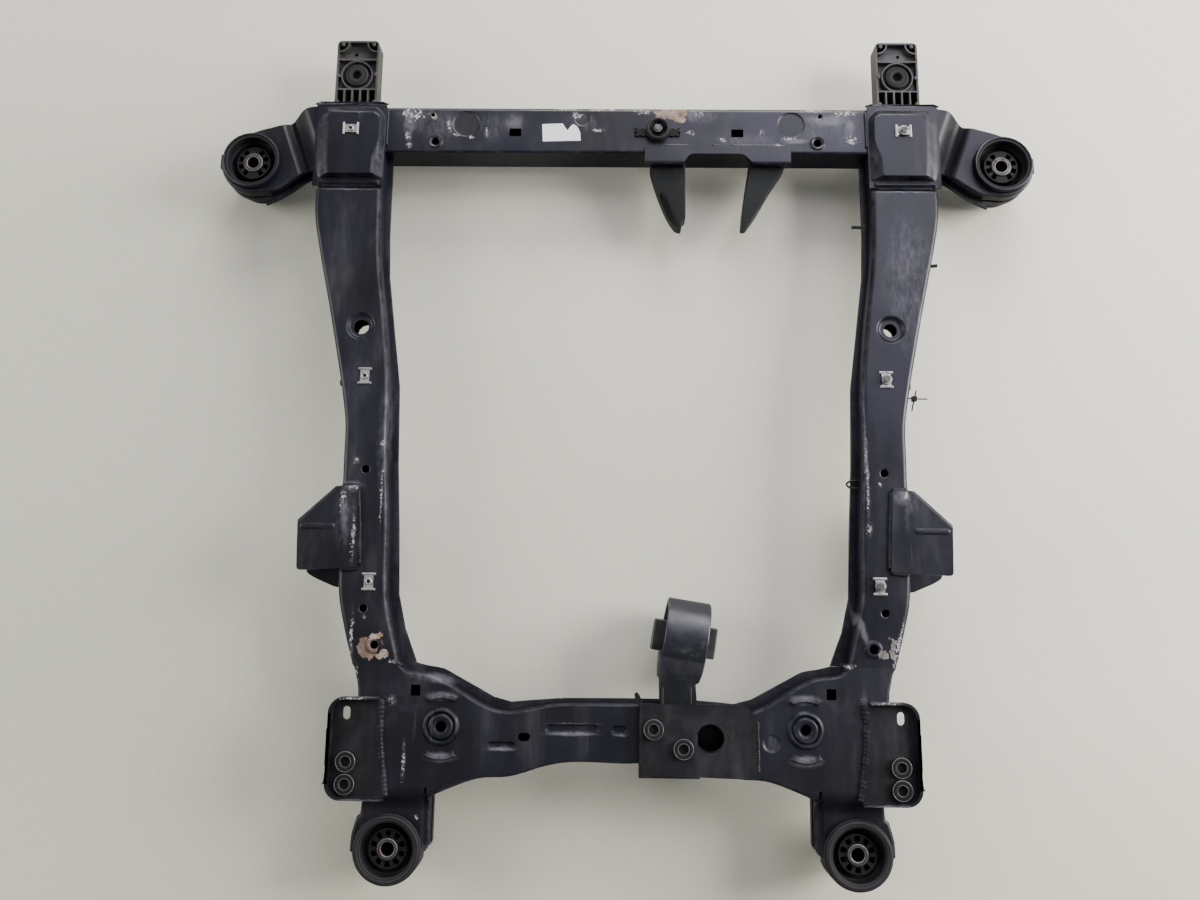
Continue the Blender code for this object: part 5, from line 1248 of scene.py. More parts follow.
def make_rear_beam():
    """The rear crossmember with its legs, boss rings, crescents, beads and the torque mount's recess."""
    rings, holes = [], []
    for s in (-1, 1):
        holes.append((circle(s * REAR_BUSH[0], REAR_BUSH[1], REAR_CAN_R + GAP, 48), 0.0))
        holes.append((box_loop(s * 0.2468, -0.2935, 0.0115, 0.0128), -0.0004, 0.5))
        holes.append((box_loop(s * 0.2306, -0.4085, 0.0026, 0.01, 0.0008), -0.0003, 0.4))
        x, y = s * REAR_BOSS[0], REAR_BOSS[1]
        rings += [(circle(x, y, radius, 40), rise, mark) for radius, rise, mark in BOSS_RINGS]
        holes.append((circle(x, y, BOSS_BORE_R, 40), -0.001, 0.2))
        for radius, start in ((0.0352, 60), (0.035, 240)):
            rings += crescent((x, y), radius, CRESCENT_WIDTH, start, start + 60, CRESCENT_RISE)
    holes.append((capsule(-0.1235, -0.1095, -0.346, 0.0048), -0.0006, 0.4))
    holes.append((circle(*CENTRE_HOLE, 0.0155, 32), 0.0))
    for x0, x1, y, half in BEADS:
        rings += press_bead(x0, x1, y, half, BEAD_DEPTH)
    rings += press_round(0.175, -0.35, 0.0115, 0.0018, 32)
    face = spline(REAR_FACE_EDGE, 5)
    rim = spline(REAR_FLANGE_EDGE, 5)
    for line in (face, rim):
        line[0] = (line[0][0], line[0][1] - RAIL_TAIL_GAP / 2)
    face = face + mirrored(face)[1:]
    rim = rim + mirrored(rim)[1:]
    side = [(REAR_SIDE[0][0], REAR_SIDE[0][1] - RAIL_TAIL_GAP / 2), *spline(REAR_SIDE, 2)[1:]]
    bottom = side + arc(REAR_BUSH, LEG_END_R, -12, -160, 24) + list(LEG_NOTCH) + spline(REAR_HEM, 5)
    bottom = [(-x, y) for x, y in bottom] + bottom[::-1][1:]
    foot = RAIL_FACE - BOX_DEPTH
    sides = [Side(face, "flange", RAIL_FACE - FLANGE_DROP, SMALL_FILLET, rim), Side([face[-1], bottom[0]]),
        Side(bottom, "wall", foot, SMALL_FILLET), Side([bottom[-1], face[0]])]
    rows = [LEG_BEND_Y + (LEG_FLAT_Y - LEG_BEND_Y) * k / 5 for k in range(6)]
    columns = [DIP_INNER_X + (DIP_OUTER_X - DIP_INNER_X) * k / 5 for k in range(6)]
    bends = [((s * x, -0.25), (s * x, -0.45)) for x in columns for s in (-1, 1)]
    bends += [((s * 0.215, y), (s * 0.34, y)) for y in rows for s in (-1, 1)]
    bends += [((s * (LEG_STRIP_X - 0.001 * k), -0.4), (s * (LEG_STRIP_X - 0.001 * k), -0.49))
        for k in range(5) for s in (-1, 1)]
    mesh = shell(sides, rear_level, rings, holes, bends)
    mesh = cut_from(mesh, plate([list(MOUNT_SLOT)], RAIL_FACE - FLANGE_DROP + 0.0005, RAIL_FACE + 0.01))
    piece("skin_rear_beam", mesh, PAINT_REAR, ["rear_beam_upper"])


def make_beam():
    """The front crossmember's upper pressing with its windows, bosses and round dents."""
    end = BEAM_END_X
    front = [(end, BEAM_FRONT_Y), (-end, BEAM_FRONT_Y)]
    rear = [(-end, BEAM_REAR_Y), (end, BEAM_REAR_Y)]
    foot = BEAM_FACE - BEAM_DEPTH
    rings, holes = [], []
    for s in (-1, 1):
        holes.append((box_loop(s * 0.148, 0.431, 0.016, 0.011), -0.0003, 0.3))
        more, hole = punched(s * 0.2585, 0.4555, 0.0028, 0.0006, 20)
        rings += more
        holes.append(hole)
        x, y = s * 0.254, 0.417
        rings += raised_ring(x, y, 0.0108, 0.0026, 0.002, (0, 0.35, 0.7, 1))
        rings.append((circle(x, y, 0.0062, 32), 0.0016, 0.8))
        holes.append((circle(x, y, 0.0048, 32), 0.0002, 0.3))
    for x, y, r, depth in ((-0.2137, 0.4429, 0.019, 0.0013), (0.2198, 0.443, 0.019, 0.0013),
            (-0.059, 0.4503, 0.0106, 0.0007)):
        rings += press_round(x, y, r, depth, 48, 0.0026)
    window = [(0.012, 0.4255), (0.072, 0.4255), (0.072, 0.4335), (0.012, 0.4335)]
    holes.append((round_corners(window, 0.002, 3), 0.0))
    sides = [Side(front, "wall", foot), Side([front[1], rear[0]]),
        Side(rear, "wall", foot, BEAM_REAR_FILLET), Side([rear[1], front[0]])]
    mesh = shell(sides, lambda x, y: BEAM_FACE, rings, holes)
    piece("skin_front_beam", mesh, PAINT_FRONT, ["front_beam_upper"])


ARM_STEPS = ((-0.042, BEAM_FACE), (-0.013, ARM_VALLEY), (0.002, ARM_COLLAR))


def arm_level(x, y):
    """Height of an arm's face: it falls into a valley beside the corner and rises to the bush's collar."""
    q = (x - ARM_BEND[0]) * cos(ARM_BEND_TURN) + (y - ARM_BEND[1]) * sin(ARM_BEND_TURN)
    if q <= ARM_STEPS[0][0]:
        return ARM_STEPS[0][1]
    for (q0, z0), (q1, z1) in zip(ARM_STEPS, ARM_STEPS[1:]):
        if q <= q1:
            return z0 + (z1 - z0) * ease((q - q0) / (q1 - q0))
    return ARM_COLLAR


def make_arm(side, mirror):
    """A front arm's upper and lower pressing, with a collar round the bush."""
    def outline(foot, nub, fillet):
        front = [(ARM_ROOT_X, BEAM_FRONT_Y), *ARM_FRONT]
        rear = [(ARM_ROOT_X, 0.385), *ARM_REAR[::-1]]
        hem = [(ARM_ROOT_X, 0.382), *ARM_HEM[::-1]]
        front, rear, hem = spline(front, 5), spline(rear, 5), spline(hem, 5)
        start = atan2(rear[-1][1] - FRONT_BUSH[1], rear[-1][0] - FRONT_BUSH[0]) * 180 / pi
        end = atan2(front[-1][1] - FRONT_BUSH[1], front[-1][0] - FRONT_BUSH[0]) * 180 / pi
        lower = arc(FRONT_BUSH, ARM_COLLAR_R, start + 20, -12, 14)
        outer = arc(FRONT_BUSH, ARM_COLLAR_R, -12, 30, 6)
        upper = arc(FRONT_BUSH, ARM_COLLAR_R, 30, end - 22, 9)
        sides = [Side(rear, "flange", foot, fillet, hem), Side([rear[-1]] + lower, "wall", foot, fillet)]
        if nub:
            reach = FRONT_BUSH[0] + NUB_REACH
            low, high = FRONT_BUSH[1] - NUB_HALF + 0.009, FRONT_BUSH[1] + NUB_HALF + 0.009
            tab = [(reach, low + (high - low) * k / 6) for k in range(7)]
            sides.append(Side(outer, "flange", foot, fillet, tab))
        else:
            sides.append(Side(outer, "wall", foot, fillet))
        sides += [Side(upper + [front[-1]], "wall", foot, fillet), Side(front[::-1], "wall", foot, fillet),
            Side([front[0], rear[0]])]
        return sides

    finish = SIDE_PAINT[side]
    hole = [(circle(*FRONT_BUSH, FRONT_CAN_R + GAP, 56), 0.0)]
    along = Vector((-sin(ARM_BEND_TURN), cos(ARM_BEND_TURN))) * 0.09
    bends = []
    for k in range(19):
        q = ARM_STEPS[0][0] + (ARM_STEPS[-1][0] - ARM_STEPS[0][0]) * k / 18
        middle = Vector(ARM_BEND) + Vector((cos(ARM_BEND_TURN), sin(ARM_BEND_TURN))) * q
        bends.append((tuple(middle - along), tuple(middle + along)))
    upper = shell(outline(ARM_SEAM, False, 0.0028), arm_level, (), hole, bends, mirror=mirror)
    piece("skin_arm_upper_" + side, upper, finish, ["front_arm_upper_" + side])
    lower = shell(outline(ARM_SEAM - SHEET * 2 - GAP, True, 0.0022), lambda x, y: ARM_FLOOR, (), hole, (),
        up=-1, rounds=3, mirror=mirror)
    piece("skin_arm_lower_" + side, lower, finish, ["front_arm_lower_" + side])


def make_saddle(side, mirror):
    """A panel with a raised crown and a bead behind it, over the joint of crossmember, rail and arm."""
    level = BEAM_FACE + GAP + SHEET
    x0, x1, y0, y1, r = SADDLE_INNER_X, SADDLE_OUTER_X, SADDLE_REAR_Y, SADDLE_FRONT_Y + SHEET, SADDLE_CORNER
    outer = [(x1, y0)] + arc((x1 - r, y1 - r), r, 0, 45, 3) + [(x1 - r, y1)]
    inner = [(x0 + r, y1)] + arc((x0 + r, y1 - r), r, 135, 180, 3) + [(x0, y0)]
    strip = y0 + SADDLE_STRIP
    foot = strip + 0.0014
    base = [(x0 + 0.0008, foot), (x1 - 0.006, foot), (x1 - 0.0012, 0.376), (x1 - 0.0012, 0.447),
        (x1 - 0.012, y1 - 0.0062), (x0 + 0.013, y1 - 0.0062), (x0 + 0.0012, 0.452), (x0 + 0.0012, 0.406),
        (x0 + 0.001, 0.38)]
    crown = [(0.3368, 0.3668), (0.3912, 0.3668), (0.3925, 0.4), (0.3925, 0.446), (0.389, 0.4508),
        (0.3335, 0.4508), (0.3275, 0.445), (0.3275, 0.409), (0.3368, 0.394)]
    base = round_corners(base, [0.002, 0.005, 0.01, 0.008, 0.004, 0.004, 0.008, 0.01, 0.004])
    crown = round_corners(crown, [0.0015, 0.0015, 0.01, 0.003, 0.003, 0.003, 0.003, 0.008, 0.008])
    rings = press_loop(base, crown, SADDLE_RISE, 8)
    ends = []
    for inset, radius in ((0.0, 0.003), (0.003, 0.0008)):
        left, right = x0 + 0.0055 + inset, x1 - 0.0065 - inset
        rear, front = y0 + 0.0004 + inset, strip - inset
        ends.append(round_corners([(left, rear), (right, rear), (right, front), (left, front)], radius))
    rings += press_loop(*ends, 0.003, 5)
    sides = [Side([inner[-1], outer[0]]), Side(outer),
        Side([outer[-1], inner[0]], "wall", level - SADDLE_APRON, SMALL_FILLET), Side(inner)]
    mesh = shell(sides, lambda x, y: level, rings, mirror=mirror)
    piece("skin_saddle_" + side, mesh, SIDE_PAINT[side], ["corner_saddle_" + side])


def make_arm_bracket(side, mirror):
    """The two plates of a control-arm bracket and the welds that hold it to the rail."""
    top = RAIL_FACE + GAP + PLATE
    line = [(0.328, -0.049), (0.325, -0.1), (0.3225, -0.149), (0.397, -0.153), (0.3995, -0.0855),
        (0.356, -0.05)]
    foot = top - 0.01
    corner = round_corners(line[2:], 0.005)
    outer, front = corner[6:12], corner[12:19]
    sides = [Side(line[0:3]), Side([line[2], outer[0]]), Side(outer + [front[0]]),
        Side([front[0], line[5]], "wall", foot, 0.0045), Side([line[5], line[0]])]
    rings = press_bead(0.352, 0.396, -0.0995, 0.0042, -0.0016, 0.0028)
    mesh = shell(sides, lambda x, y: top, rings, thickness=PLATE, mirror=mirror)
    piece("skin_arm_bracket_upper_" + side, mesh, SIDE_PAINT[side], ["arm_bracket_upper_" + side])
    lower = [(0.305, -0.052), (0.305, -0.172), (0.36, -0.172), (0.386, -0.161), (0.398, -0.154),
        (0.4, -0.087), (0.357, -0.052)]
    base = RAIL_FACE - BOX_DEPTH - GAP - PLATE
    outline = round_corners(lower, [0, 0, 0.004, 0.004, 0.005, 0.006, 0.004], 4)
    mesh = plate([outline], base, base + PLATE, mirror, 0.0006)
    piece("skin_arm_bracket_lower_" + side, mesh, PAINT_PLAIN, ["arm_bracket_lower_" + side])
    z = RAIL_FACE + 0.0012
    for name, points, radius in (("inner", ((0.3272, -0.052), (0.324, -0.1), (0.3218, -0.146)), 0.003),
            ("rear", ((0.3225, -0.15), (0.3455, -0.1515)), 0.0028),
            ("front", ((0.3285, -0.048), (0.348, -0.0485)), 0.0028)):
        weld("weld_bracket_%s_%s" % (name, side), [(x, y, z) for x, y in points], radius, mirror=mirror)


def make_rear_plate(side, mirror):
    """A control-arm plate with turned-up lips, a slot, two weld nuts and its weld."""
    top = RAIL_FACE + GAP + PLATE
    x0, x1, y0, y1, r = 0.2895, 0.347, -0.4185, -0.301, 0.019
    lip = top + 0.0065
    lower = [(x0 - 0.011, y0)] + arc((x1 - r, y0 + r), r, -90, 0, 12)
    upper = arc((x1 - r, y1 - r), r, 0, 90, 12) + [(x0, y1)]
    sides = [Side(lower, "wall", lip, SMALL_FILLET), Side([lower[-1], upper[0]]),
        Side(upper, "wall", lip, SMALL_FILLET), Side([upper[-1], lower[0]])]
    slot = [(0.3265 - y, x - 0.3265) for x, y in capsule(-0.0013, 0.0143, 0.0, 0.0046)]
    holes = [(slot, 0.0, 0.3)] + [(circle(*place, NUT_HOLE_R, 28), 0.0, 0.3) for place in PLATE_NUTS]
    mesh = shell(sides, lambda x, y: top - PLATE, (), holes, (), up=-1, thickness=PLATE, mirror=mirror)
    piece("skin_rear_plate_" + side, mesh, PAINT_PLATE, ["rear_plate_" + side])
    s = -1 if mirror else 1
    for number, (x, y) in enumerate(PLATE_NUTS, 1):
        make_nut("weld_nut_%s_%d" % (side, number), s * x, y, top + GAP)
    z = RAIL_FACE + 0.0002
    weld("weld_plate_" + side, [(x0 - 0.0015, y1 - 0.002, z), (x0 - 0.001, -0.345, z),
        (x0 - 0.006, -0.38, z), (x0 - 0.011, y0 + 0.002, z)], 0.0058, PAINT_WELD, mirror, 0.0052)


def make_nut(node, x, y, foot):
    """A flat round weld nut with a bright rim, a few thread turns in its bore, and a dark floor that closes
    the bore as painted shade.
    """
    threads = []
    for k in range(4):
        z = 0.0008 + k * 0.001
        threads += [(NUT_HOLE_R, z, 0.0), (0.0059, z + 0.0005, 0.0)]
    # The bore is closed by a floor just above the sheet, in plate black: a dark sheet standing in for the
    # shade seen down the hole
    body = [(0.0113, 0.0), (0.0113, 0.0038), (0.0106, 0.0045), (0.0075, 0.0045), (0.0064, 0.004),
        *threads[::-1], (NUT_HOLE_R, 0.0006, 0.0), (0.0001, 0.0006, 0.0), (0.0001, 0.0, 0.0)]
    rim = [(0.0113, 0.0), (0.0119, 0.0), (0.0118, 0.004), (0.0116, 0.0046), (0.0112, 0.0046)]
    collar = [(0.0058, 0.0036), (0.007, 0.0036), (0.0068, 0.0047), (0.006, 0.0047)]
    for name, profile, steps, radius, finish in (("dress_", body, 44, 0.0004, PAINT_PLATE),
            ("rim_", rim, 44, 0.0002, RING_STEEL), ("collar_", collar, 36, 0.0002, STEEL)):
        mesh = lathe(profile, steps, (x, y, foot), None, radius)
        piece(name + node, mesh, finish, [node] if name == "dress_" else (), slot="black_paint")


def make_centre_plate():
    """The centre plate with a folded rear edge, its two weld nuts, a weld and a small tab."""
    top = RAIL_FACE + GAP + PLATE
    x0, x1, y0, y1, r = 0.0188, 0.1575, -0.391, -0.3065, 0.022
    face = RAIL_FACE - CENTRE_DIP
    hem = [(x0, y0), (DIP_INNER_X - 0.002, y0)]
    sides = [Side(hem, "wall", top - 0.03, 0.0045), Side([hem[1], (x1, y0)]),
        Side([(x1, y0), (x1, y1 - r)]), Side(arc((x1 - r, y1 - r), r, 0, 90, 14)),
        Side([(x1 - r, y1), (x0, y1)]), Side([(x0, y1), (x0, y0)], "wall", face + GAP, 0.0045)]
    holes = [(circle(*CENTRE_HOLE, 0.0165, 48), 0.0, 0.5)]
    holes += [(circle(*place, NUT_HOLE_R, 28), 0.0, 0.3) for place in TORQUE_NUTS]
    mesh = shell(sides, lambda x, y: top, (), holes, (), thickness=PLATE)
    piece("skin_centre_plate", mesh, PAINT_PLATE, ["centre_plate"])
    for number, (x, y) in enumerate(TORQUE_NUTS, 1):
        make_nut("torque_nut_%d" % number, x, y, top + GAP)
    z = RAIL_FACE + 0.0008
    weld("weld_centre_right", [(x1 + 0.001, y0 + 0.006, z), (x1 + 0.001, y1 - r + 0.004, z)], 0.0026)
    tab = [(0.0148, -0.3058), (0.0135, -0.2945), (0.0165, -0.2926), (0.0195, -0.296), (0.0222, -0.3024),
        (0.0212, -0.306)]
    mesh = plate([round_corners(tab, 0.0012, 3)], top - PLATE, top - 0.0008, False, 0.0005)
    piece("centre_plate_tab", mesh, PAINT_HORN, (), 30)


HORN_LEFT = ((0.0325, RAIL_ROOT_Y), (0.0325, 0.3857), (0.043, 0.35), (0.0548, 0.3205), (0.0655, 0.304),
    (0.0738, 0.3015), (0.0752, 0.312), (0.0795, 0.315), (0.0795, RAIL_ROOT_Y))
HORN_LEFT_CORNERS = (0.0, 0.01, 0.02, 0.02, 0.004, 0.003, 0.003, 0.004, 0.0)
HORN_RIGHT = ((0.1665, RAIL_ROOT_Y), (0.165, 0.3887), (0.1612, 0.3669), (0.155, 0.325), (0.1532, 0.3032),
    (0.1598, 0.303), (0.1755, 0.326), (0.191, 0.355), (0.2131, 0.389), (0.2134, RAIL_ROOT_Y))
HORN_RIGHT_CORNERS = (0.0, 0.008, 0.02, 0.01, 0.004, 0.005, 0.012, 0.02, 0.006, 0.0)
HORN_FOLD = ((0.051, 0.35), (0.071, 0.3))
HORN_FOLD_DROP = 0.007
HORN_FOLD_RUN = 0.0045


def horn_level(x, y):
    """Height of the left horn's face, whose lower outer edge is folded down."""
    top = BEAM_FACE + SHEET - 0.012
    (ax, ay), (bx, by) = HORN_FOLD
    length = sqrt((bx - ax) ** 2 + (by - ay) ** 2)
    past = -((x - ax) * (ay - by) + (y - ay) * (bx - ax)) / length
    fade = ease((ay - y) / 0.012)
    return top - HORN_FOLD_DROP * ease(past / HORN_FOLD_RUN) * fade


def make_horns():
    """The engine bracket under the front crossmember and its two horns."""
    level = BEAM_FACE + GAP + SHEET
    x0, x1, y0, y1, crest = 0.025, 0.218, 0.3865, 0.4115, 0.4005
    a0, a1 = 0.0762, 0.169
    arch = open_round([(a0, y0), (0.0838, crest), (0.157, crest), (a1, y0)], (0.0, 0.009, 0.011, 0.0))[1:-1]
    left, right = [(x0, y0), (a0, y0)], [(a1, y0), (x1, y0)]
    apron = level - 0.012
    sides = [Side(left, "wall", apron, SMALL_FILLET), Side([left[1]] + arch + [right[0]]),
        Side(right, "wall", apron, SMALL_FILLET), Side([right[1], (x1, y1)]), Side([(x1, y1), (x0, y1)]),
        Side([(x0, y1), left[0]])]
    piece("skin_engine_bracket", shell(sides, lambda x, y: level), PAINT_FRONT, ["engine_bracket"])
    top = apron - GAP
    (ax, ay), (bx, by) = HORN_FOLD
    folds = []
    for k in range(5):
        shift = HORN_FOLD_RUN * k / 4
        across = Vector((ay - by, bx - ax)).normalized() * -shift
        folds.append(((ax + across.x, ay + across.y + 0.004), (bx + across.x, by + across.y)))
    for name, points, corners, level, bends in (("left", HORN_LEFT, HORN_LEFT_CORNERS, horn_level, folds),
            ("right", HORN_RIGHT, HORN_RIGHT_CORNERS, lambda x, y: top, ())):
        line = open_round(points, corners)
        sides = [Side(line, "wall", top - 0.022, 0.0014), Side([line[-1], line[0]])]
        piece("skin_horn_" + name, shell(sides, level, (), (), bends), PAINT_HORN, ["horn_" + name])
    z = BEAM_FACE + 0.001
    edge = y1 + 0.0012
    for name, start, end, radius in (("left", 0.036, 0.084, 0.0022), ("middle", 0.114, 0.126, 0.002),
            ("right", 0.14, 0.2, 0.0022)):
        weld("weld_engine_" + name, [(start, edge, z), (end, edge, z)], radius, PAINT_FRONT)


# Bushes

def void_loop(x, y, turn, inner, outer, half):
    """A rounded slot between two radii."""
    points = [(inner, -half * 0.85), (outer, -half), (outer, half), (inner, half * 0.85)]
    line = round_corners(points, 0.0016, 4)
    return [(x + u * cos(turn) - v * sin(turn), y + u * sin(turn) + v * cos(turn)) for u, v in line]


def make_bush(name, side, place, can_r, can_foot, can_top, sleeve_r, sleeve_top, rim_r):
    """Can, rubber with its ring of voids, and sleeve. A rim radius of 0 keeps the rubber in its can."""
    x, y = place
    inner = can_r - CAN_WALL
    key = name + "_" + side
    can = [(inner, can_foot), (can_r, can_foot), (can_r, can_top), (inner, can_top)]
    piece("dress_bush_can_" + key, lathe(can, 72, (x, y, 0), None, 0.0011), PAINT_RING, ["bush_can_" + key])
    out = inner - GAP
    hub = sleeve_r + GAP
    low = can_foot + 0.004
    plate_z = sleeve_top - 0.002
    if rim_r:
        foot = can_top + GAP
        crest = foot + RIM_HEIGHT
        profile = [(hub, low), (out, low), (out, foot, 0), (rim_r - 0.0012, foot),
            (rim_r, crest - 0.0045, 0.002), (rim_r - 0.003, crest, 0.003), (0.034, crest - 0.0004, 0.002),
            (0.0306, crest - 0.0016, 0.0012), (0.03, plate_z - 0.0066, 0.002),
            (0.0245, plate_z - 0.0078, 0.002), (0.0232, plate_z - 0.002, 0.001), (0.0226, plate_z, 0.0008),
            (hub, plate_z)]
    else:
        profile = [(hub, low), (out, low), (out, can_top - 0.001), (0.0322, can_top - 0.0012, 0.001),
            (0.0314, can_top - 0.015, 0.002), (0.0262, can_top - 0.023, 0.002),
            (0.0232, plate_z - 0.013, 0.002), (0.0226, plate_z, 0.0012), (hub, plate_z)]
    mesh = lathe(profile, 80, (x, y, 0), None, 0.0006)
    ring = sleeve_r + (0.005 if rim_r else 0.0041)
    work = bmesh.new()
    for k in range(VOID_COUNT):
        if rim_r or k not in (2, 7):
            turn = tau * (k + 0.5) / VOID_COUNT
            loop = void_loop(x, y, turn, ring - 0.0032, ring + 0.0034, 0.0035)
            work.from_mesh(plate([loop], plate_z - 0.03, plate_z + 0.03))
    mesh = cut_from(mesh, from_work(work))
    piece("dress_bush_rubber_" + key, mesh, RUBBER, ["bush_rubber_" + key])
    sleeve = [(BORE_R, 0.0), (sleeve_r, 0.0), (sleeve_r, sleeve_top), (BORE_R, sleeve_top)]
    mesh = lathe(sleeve, 56, (x, y, 0), None, 0.0012)
    piece("dress_bush_sleeve_" + key, mesh, STEEL, ["bush_sleeve_" + key])


def make_bushes():
    """The four bushes."""
    for side, s in (("left", -1), ("right", 1)):
        make_bush("front", side, (s * FRONT_BUSH[0], FRONT_BUSH[1]), FRONT_CAN_R, CAN_FOOT,
            ARM_COLLAR + CAN_PROUD, SLEEVE_R, FRONT_SLEEVE_TOP, 0.0)
        make_bush("rear", side, (s * REAR_BUSH[0], REAR_BUSH[1]), REAR_CAN_R, CAN_FOOT + 0.008,
            RAIL_FACE - LEG_DROP + 0.0006, REAR_SLEEVE_R, REAR_SLEEVE_TOP, REAR_RIM_R)


# Torque mount

def make_torque_mount():
    """The cast ring and leg of the torque mount, its two ribs, its rubber and its bored core."""
    centre, ring_r, bore_r, width, turn = (0.0755, -0.231), 0.0475, 0.04, 0.053, radians(-9.0)
    z = 0.0015 + ring_r
    top = RAIL_FACE + GAP - 0.0006
    lay = Matrix.Rotation(turn, 4, 'Z') @ Matrix.Rotation(pi / 2, 4, 'Y')
    half = width / 2
    ring = lathe([(bore_r, -half), (ring_r, -half), (ring_r, half), (bore_r, half)], 96, (*centre, z), lay,
        0.0022)
    shape = [(0.042, -0.245), (0.0412, -0.2745), (0.0436, -0.2775), (0.0436, -0.315), (0.0395, -0.318),
        (0.028, -0.3185), (0.0275, -0.3705), (0.088, -0.3705), (0.0878, -0.31), (0.0862, -0.284),
        (0.0905, -0.2815), (0.0985, -0.255), (0.0985, -0.245)]
    bolts = [circle(*place, NUT_HOLE_R, 24) for place in TORQUE_NUTS]
    leg = plate([shape, *bolts], top - 0.025, top, False, 0.0022)
    bore = lathe([(0.0001, -width), (bore_r, -width), (bore_r, width), (0.0001, width)], 96, (*centre, z),
        lay, 0.0)
    leg = cut_from(leg, bore)
    mesh = cut_from(ring, leg, operation='UNION')
    piece("dress_torque_housing", mesh, BARREL, ["torque_housing"], 34)
    rib_z = top - 0.001
    for number, x in ((1, 0.0465), (2, 0.08)):
        rib = tube([(x, -0.276, rib_z - 0.006), (x, -0.288, rib_z), (x, -0.314, rib_z)], 0.0019, 10)
        piece("torque_rib_%d" % number, from_work(rib), BARREL, (), 50)
    face = width - 0.008
    soft = lathe([(0.0001, -face / 2), (bore_r - GAP, -face / 2), (bore_r - GAP, face / 2),
        (0.0001, face / 2)], 72, (*centre, z), lay, 0.002)
    block = Matrix.Translation((*centre, z)) @ Matrix.Rotation(turn, 4, 'Z')

    def bar(size, bevel):
        work = bmesh.new()
        bmesh.ops.create_cube(work, size=1.0, matrix=Matrix.Diagonal((*size, 1.0)))
        if bevel:
            bevelled(work, bevel, 4)
        bmesh.ops.transform(work, matrix=block, verts=work.verts)
        return from_work(work)
    soft = cut_from(soft, bar((0.1, 0.0384 + 2 * GAP, 0.0204 + 2 * GAP), 0.0))
    piece("dress_torque_rubber", soft, RUBBER_DARK, ["torque_rubber"])
    core = bar((0.079, 0.038, 0.02), 0.0022)
    through = [(0.0001, -0.06), (0.0062, -0.06), (0.0062, 0.06), (0.0001, 0.06)]
    core = cut_from(core, lathe(through, 28, (*centre, z), lay, 0.0))
    piece("dress_torque_core", core, CASTING_CORE, ["torque_core"])


# Radiator supports

def support_pockets(x0, x1, y0):
    """Pockets of a radiator support: deep bays and corners, and shallow fields between the ribs."""
    wall, rib, r = 0.0026, 0.002, 0.0122
    left, right, front = x0 + wall, x1 - wall, SUPPORT_TIP_Y - wall
    band = SUPPORT_BUSH_Y - 0.0195 - 0.0022
    root = y0 + wall
    pitch = (right - left + rib) / 5
    bays = [box_loop(left + pitch * k + (pitch - rib) / 2, (root + band) / 2, pitch - rib, band - root)
        for k in range(5)]
    corners = [[(left, front)] + arc((left, front), r, -90, 0, 12),
        [(right, front)] + arc((right, front), r, 180, 270, 12)]
    outer = r + rib
    cross0, cross1 = 0.541, 0.5432
    brow = [(left, cross1), (right, cross1)] + arc((right, front), outer, 270, 180, 12)
    brow += arc((left, front), outer, 0, -90, 12)
    collar = 0.0215
    foot = band + rib
    turn = asin((cross0 - SUPPORT_BUSH_Y) / (collar + 0.0007)) * 180 / pi
    low_turn = asin((SUPPORT_BUSH_Y - foot) / collar) * 180 / pi
    middle = (SUPPORT_X, SUPPORT_BUSH_Y)
    cheeks = [[(left, foot)] + arc(middle, collar, 180 + low_turn, 180 - turn, 12) + [(left, cross0)],
        [(right, cross0)] + arc(middle, collar, turn, -low_turn, 12) + [(right, foot)]]
    return bays + corners, [brow] + cheeks


def make_support(side, mirror):
    """A cast radiator support: a ribbed tray with corner pins and a rubber isolator in its collar."""
    s = -1 if mirror else 1
    half, top, height, base_y = 0.0285, 0.062, 0.024, SADDLE_FRONT_Y + SHEET + GAP
    x0, x1, tip = SUPPORT_X - half, SUPPORT_X + half, SUPPORT_TIP_Y
    low = top - height
    outline = round_corners([(x0, base_y), (x1, base_y), (x1, tip), (x0, tip)],
        [0.001, 0.001, 0.007, 0.007], 6)
    mesh = plate([outline], low, top, mirror)
    deep, shallow = support_pockets(x0, x1, base_y)
    work = bmesh.new()
    for floor, loops in ((low + 0.003, deep), (top - 0.007, shallow)):
        for loop in loops:
            work.from_mesh(plate([loop], floor, top + 0.01, mirror))
    seat = plate([circle(s * SUPPORT_X, SUPPORT_BUSH_Y, 0.0195 + GAP, 56)], low - 0.01, top + 0.01)
    vent = plate([circle(s * (SUPPORT_X + 0.004), 0.553, 0.0024, 20)], low - 0.01, top + 0.01)
    mesh = cut_from(mesh, from_work(work), seat, vent)
    piece("dress_radiator_support_" + side, mesh, CASTING, ["radiator_support_" + side])
    pins = ((x0 + 0.0075, tip - 0.0055), (x1 - 0.0075, tip - 0.0055), (x0 + 0.003, SUPPORT_BUSH_Y + 0.001),
        (x1 - 0.003, SUPPORT_BUSH_Y - 0.001), (x0 + 0.0035, base_y + 0.008), (x1 - 0.0035, base_y + 0.008))
    for number, (x, y) in enumerate(pins, 1):
        pin = lathe([(0.0001, low + 0.004), (0.0027, low + 0.004), (0.0026, top + 0.0006),
            (0.0001, top + 0.001)], 20, (s * x, y, 0), None, 0.0007)
        piece("support_pin_%s_%d" % (side, number), pin, CASTING)
    bush = [(0.006, low), (0.0195, low), (0.0195, top - 0.004, 0.001), (0.0158, top - 0.0036, 0.001),
        (0.0152, top + 0.0008, 0.002), (0.009, top + 0.0012, 0.001), (0.006, top + 0.0008, 0.0004)]
    piece("dress_support_isolator_" + side, lathe(bush, 56, (s * SUPPORT_X, SUPPORT_BUSH_Y, 0)), RUBBER,
        ["support_isolator_" + side])


# Clips and small pieces

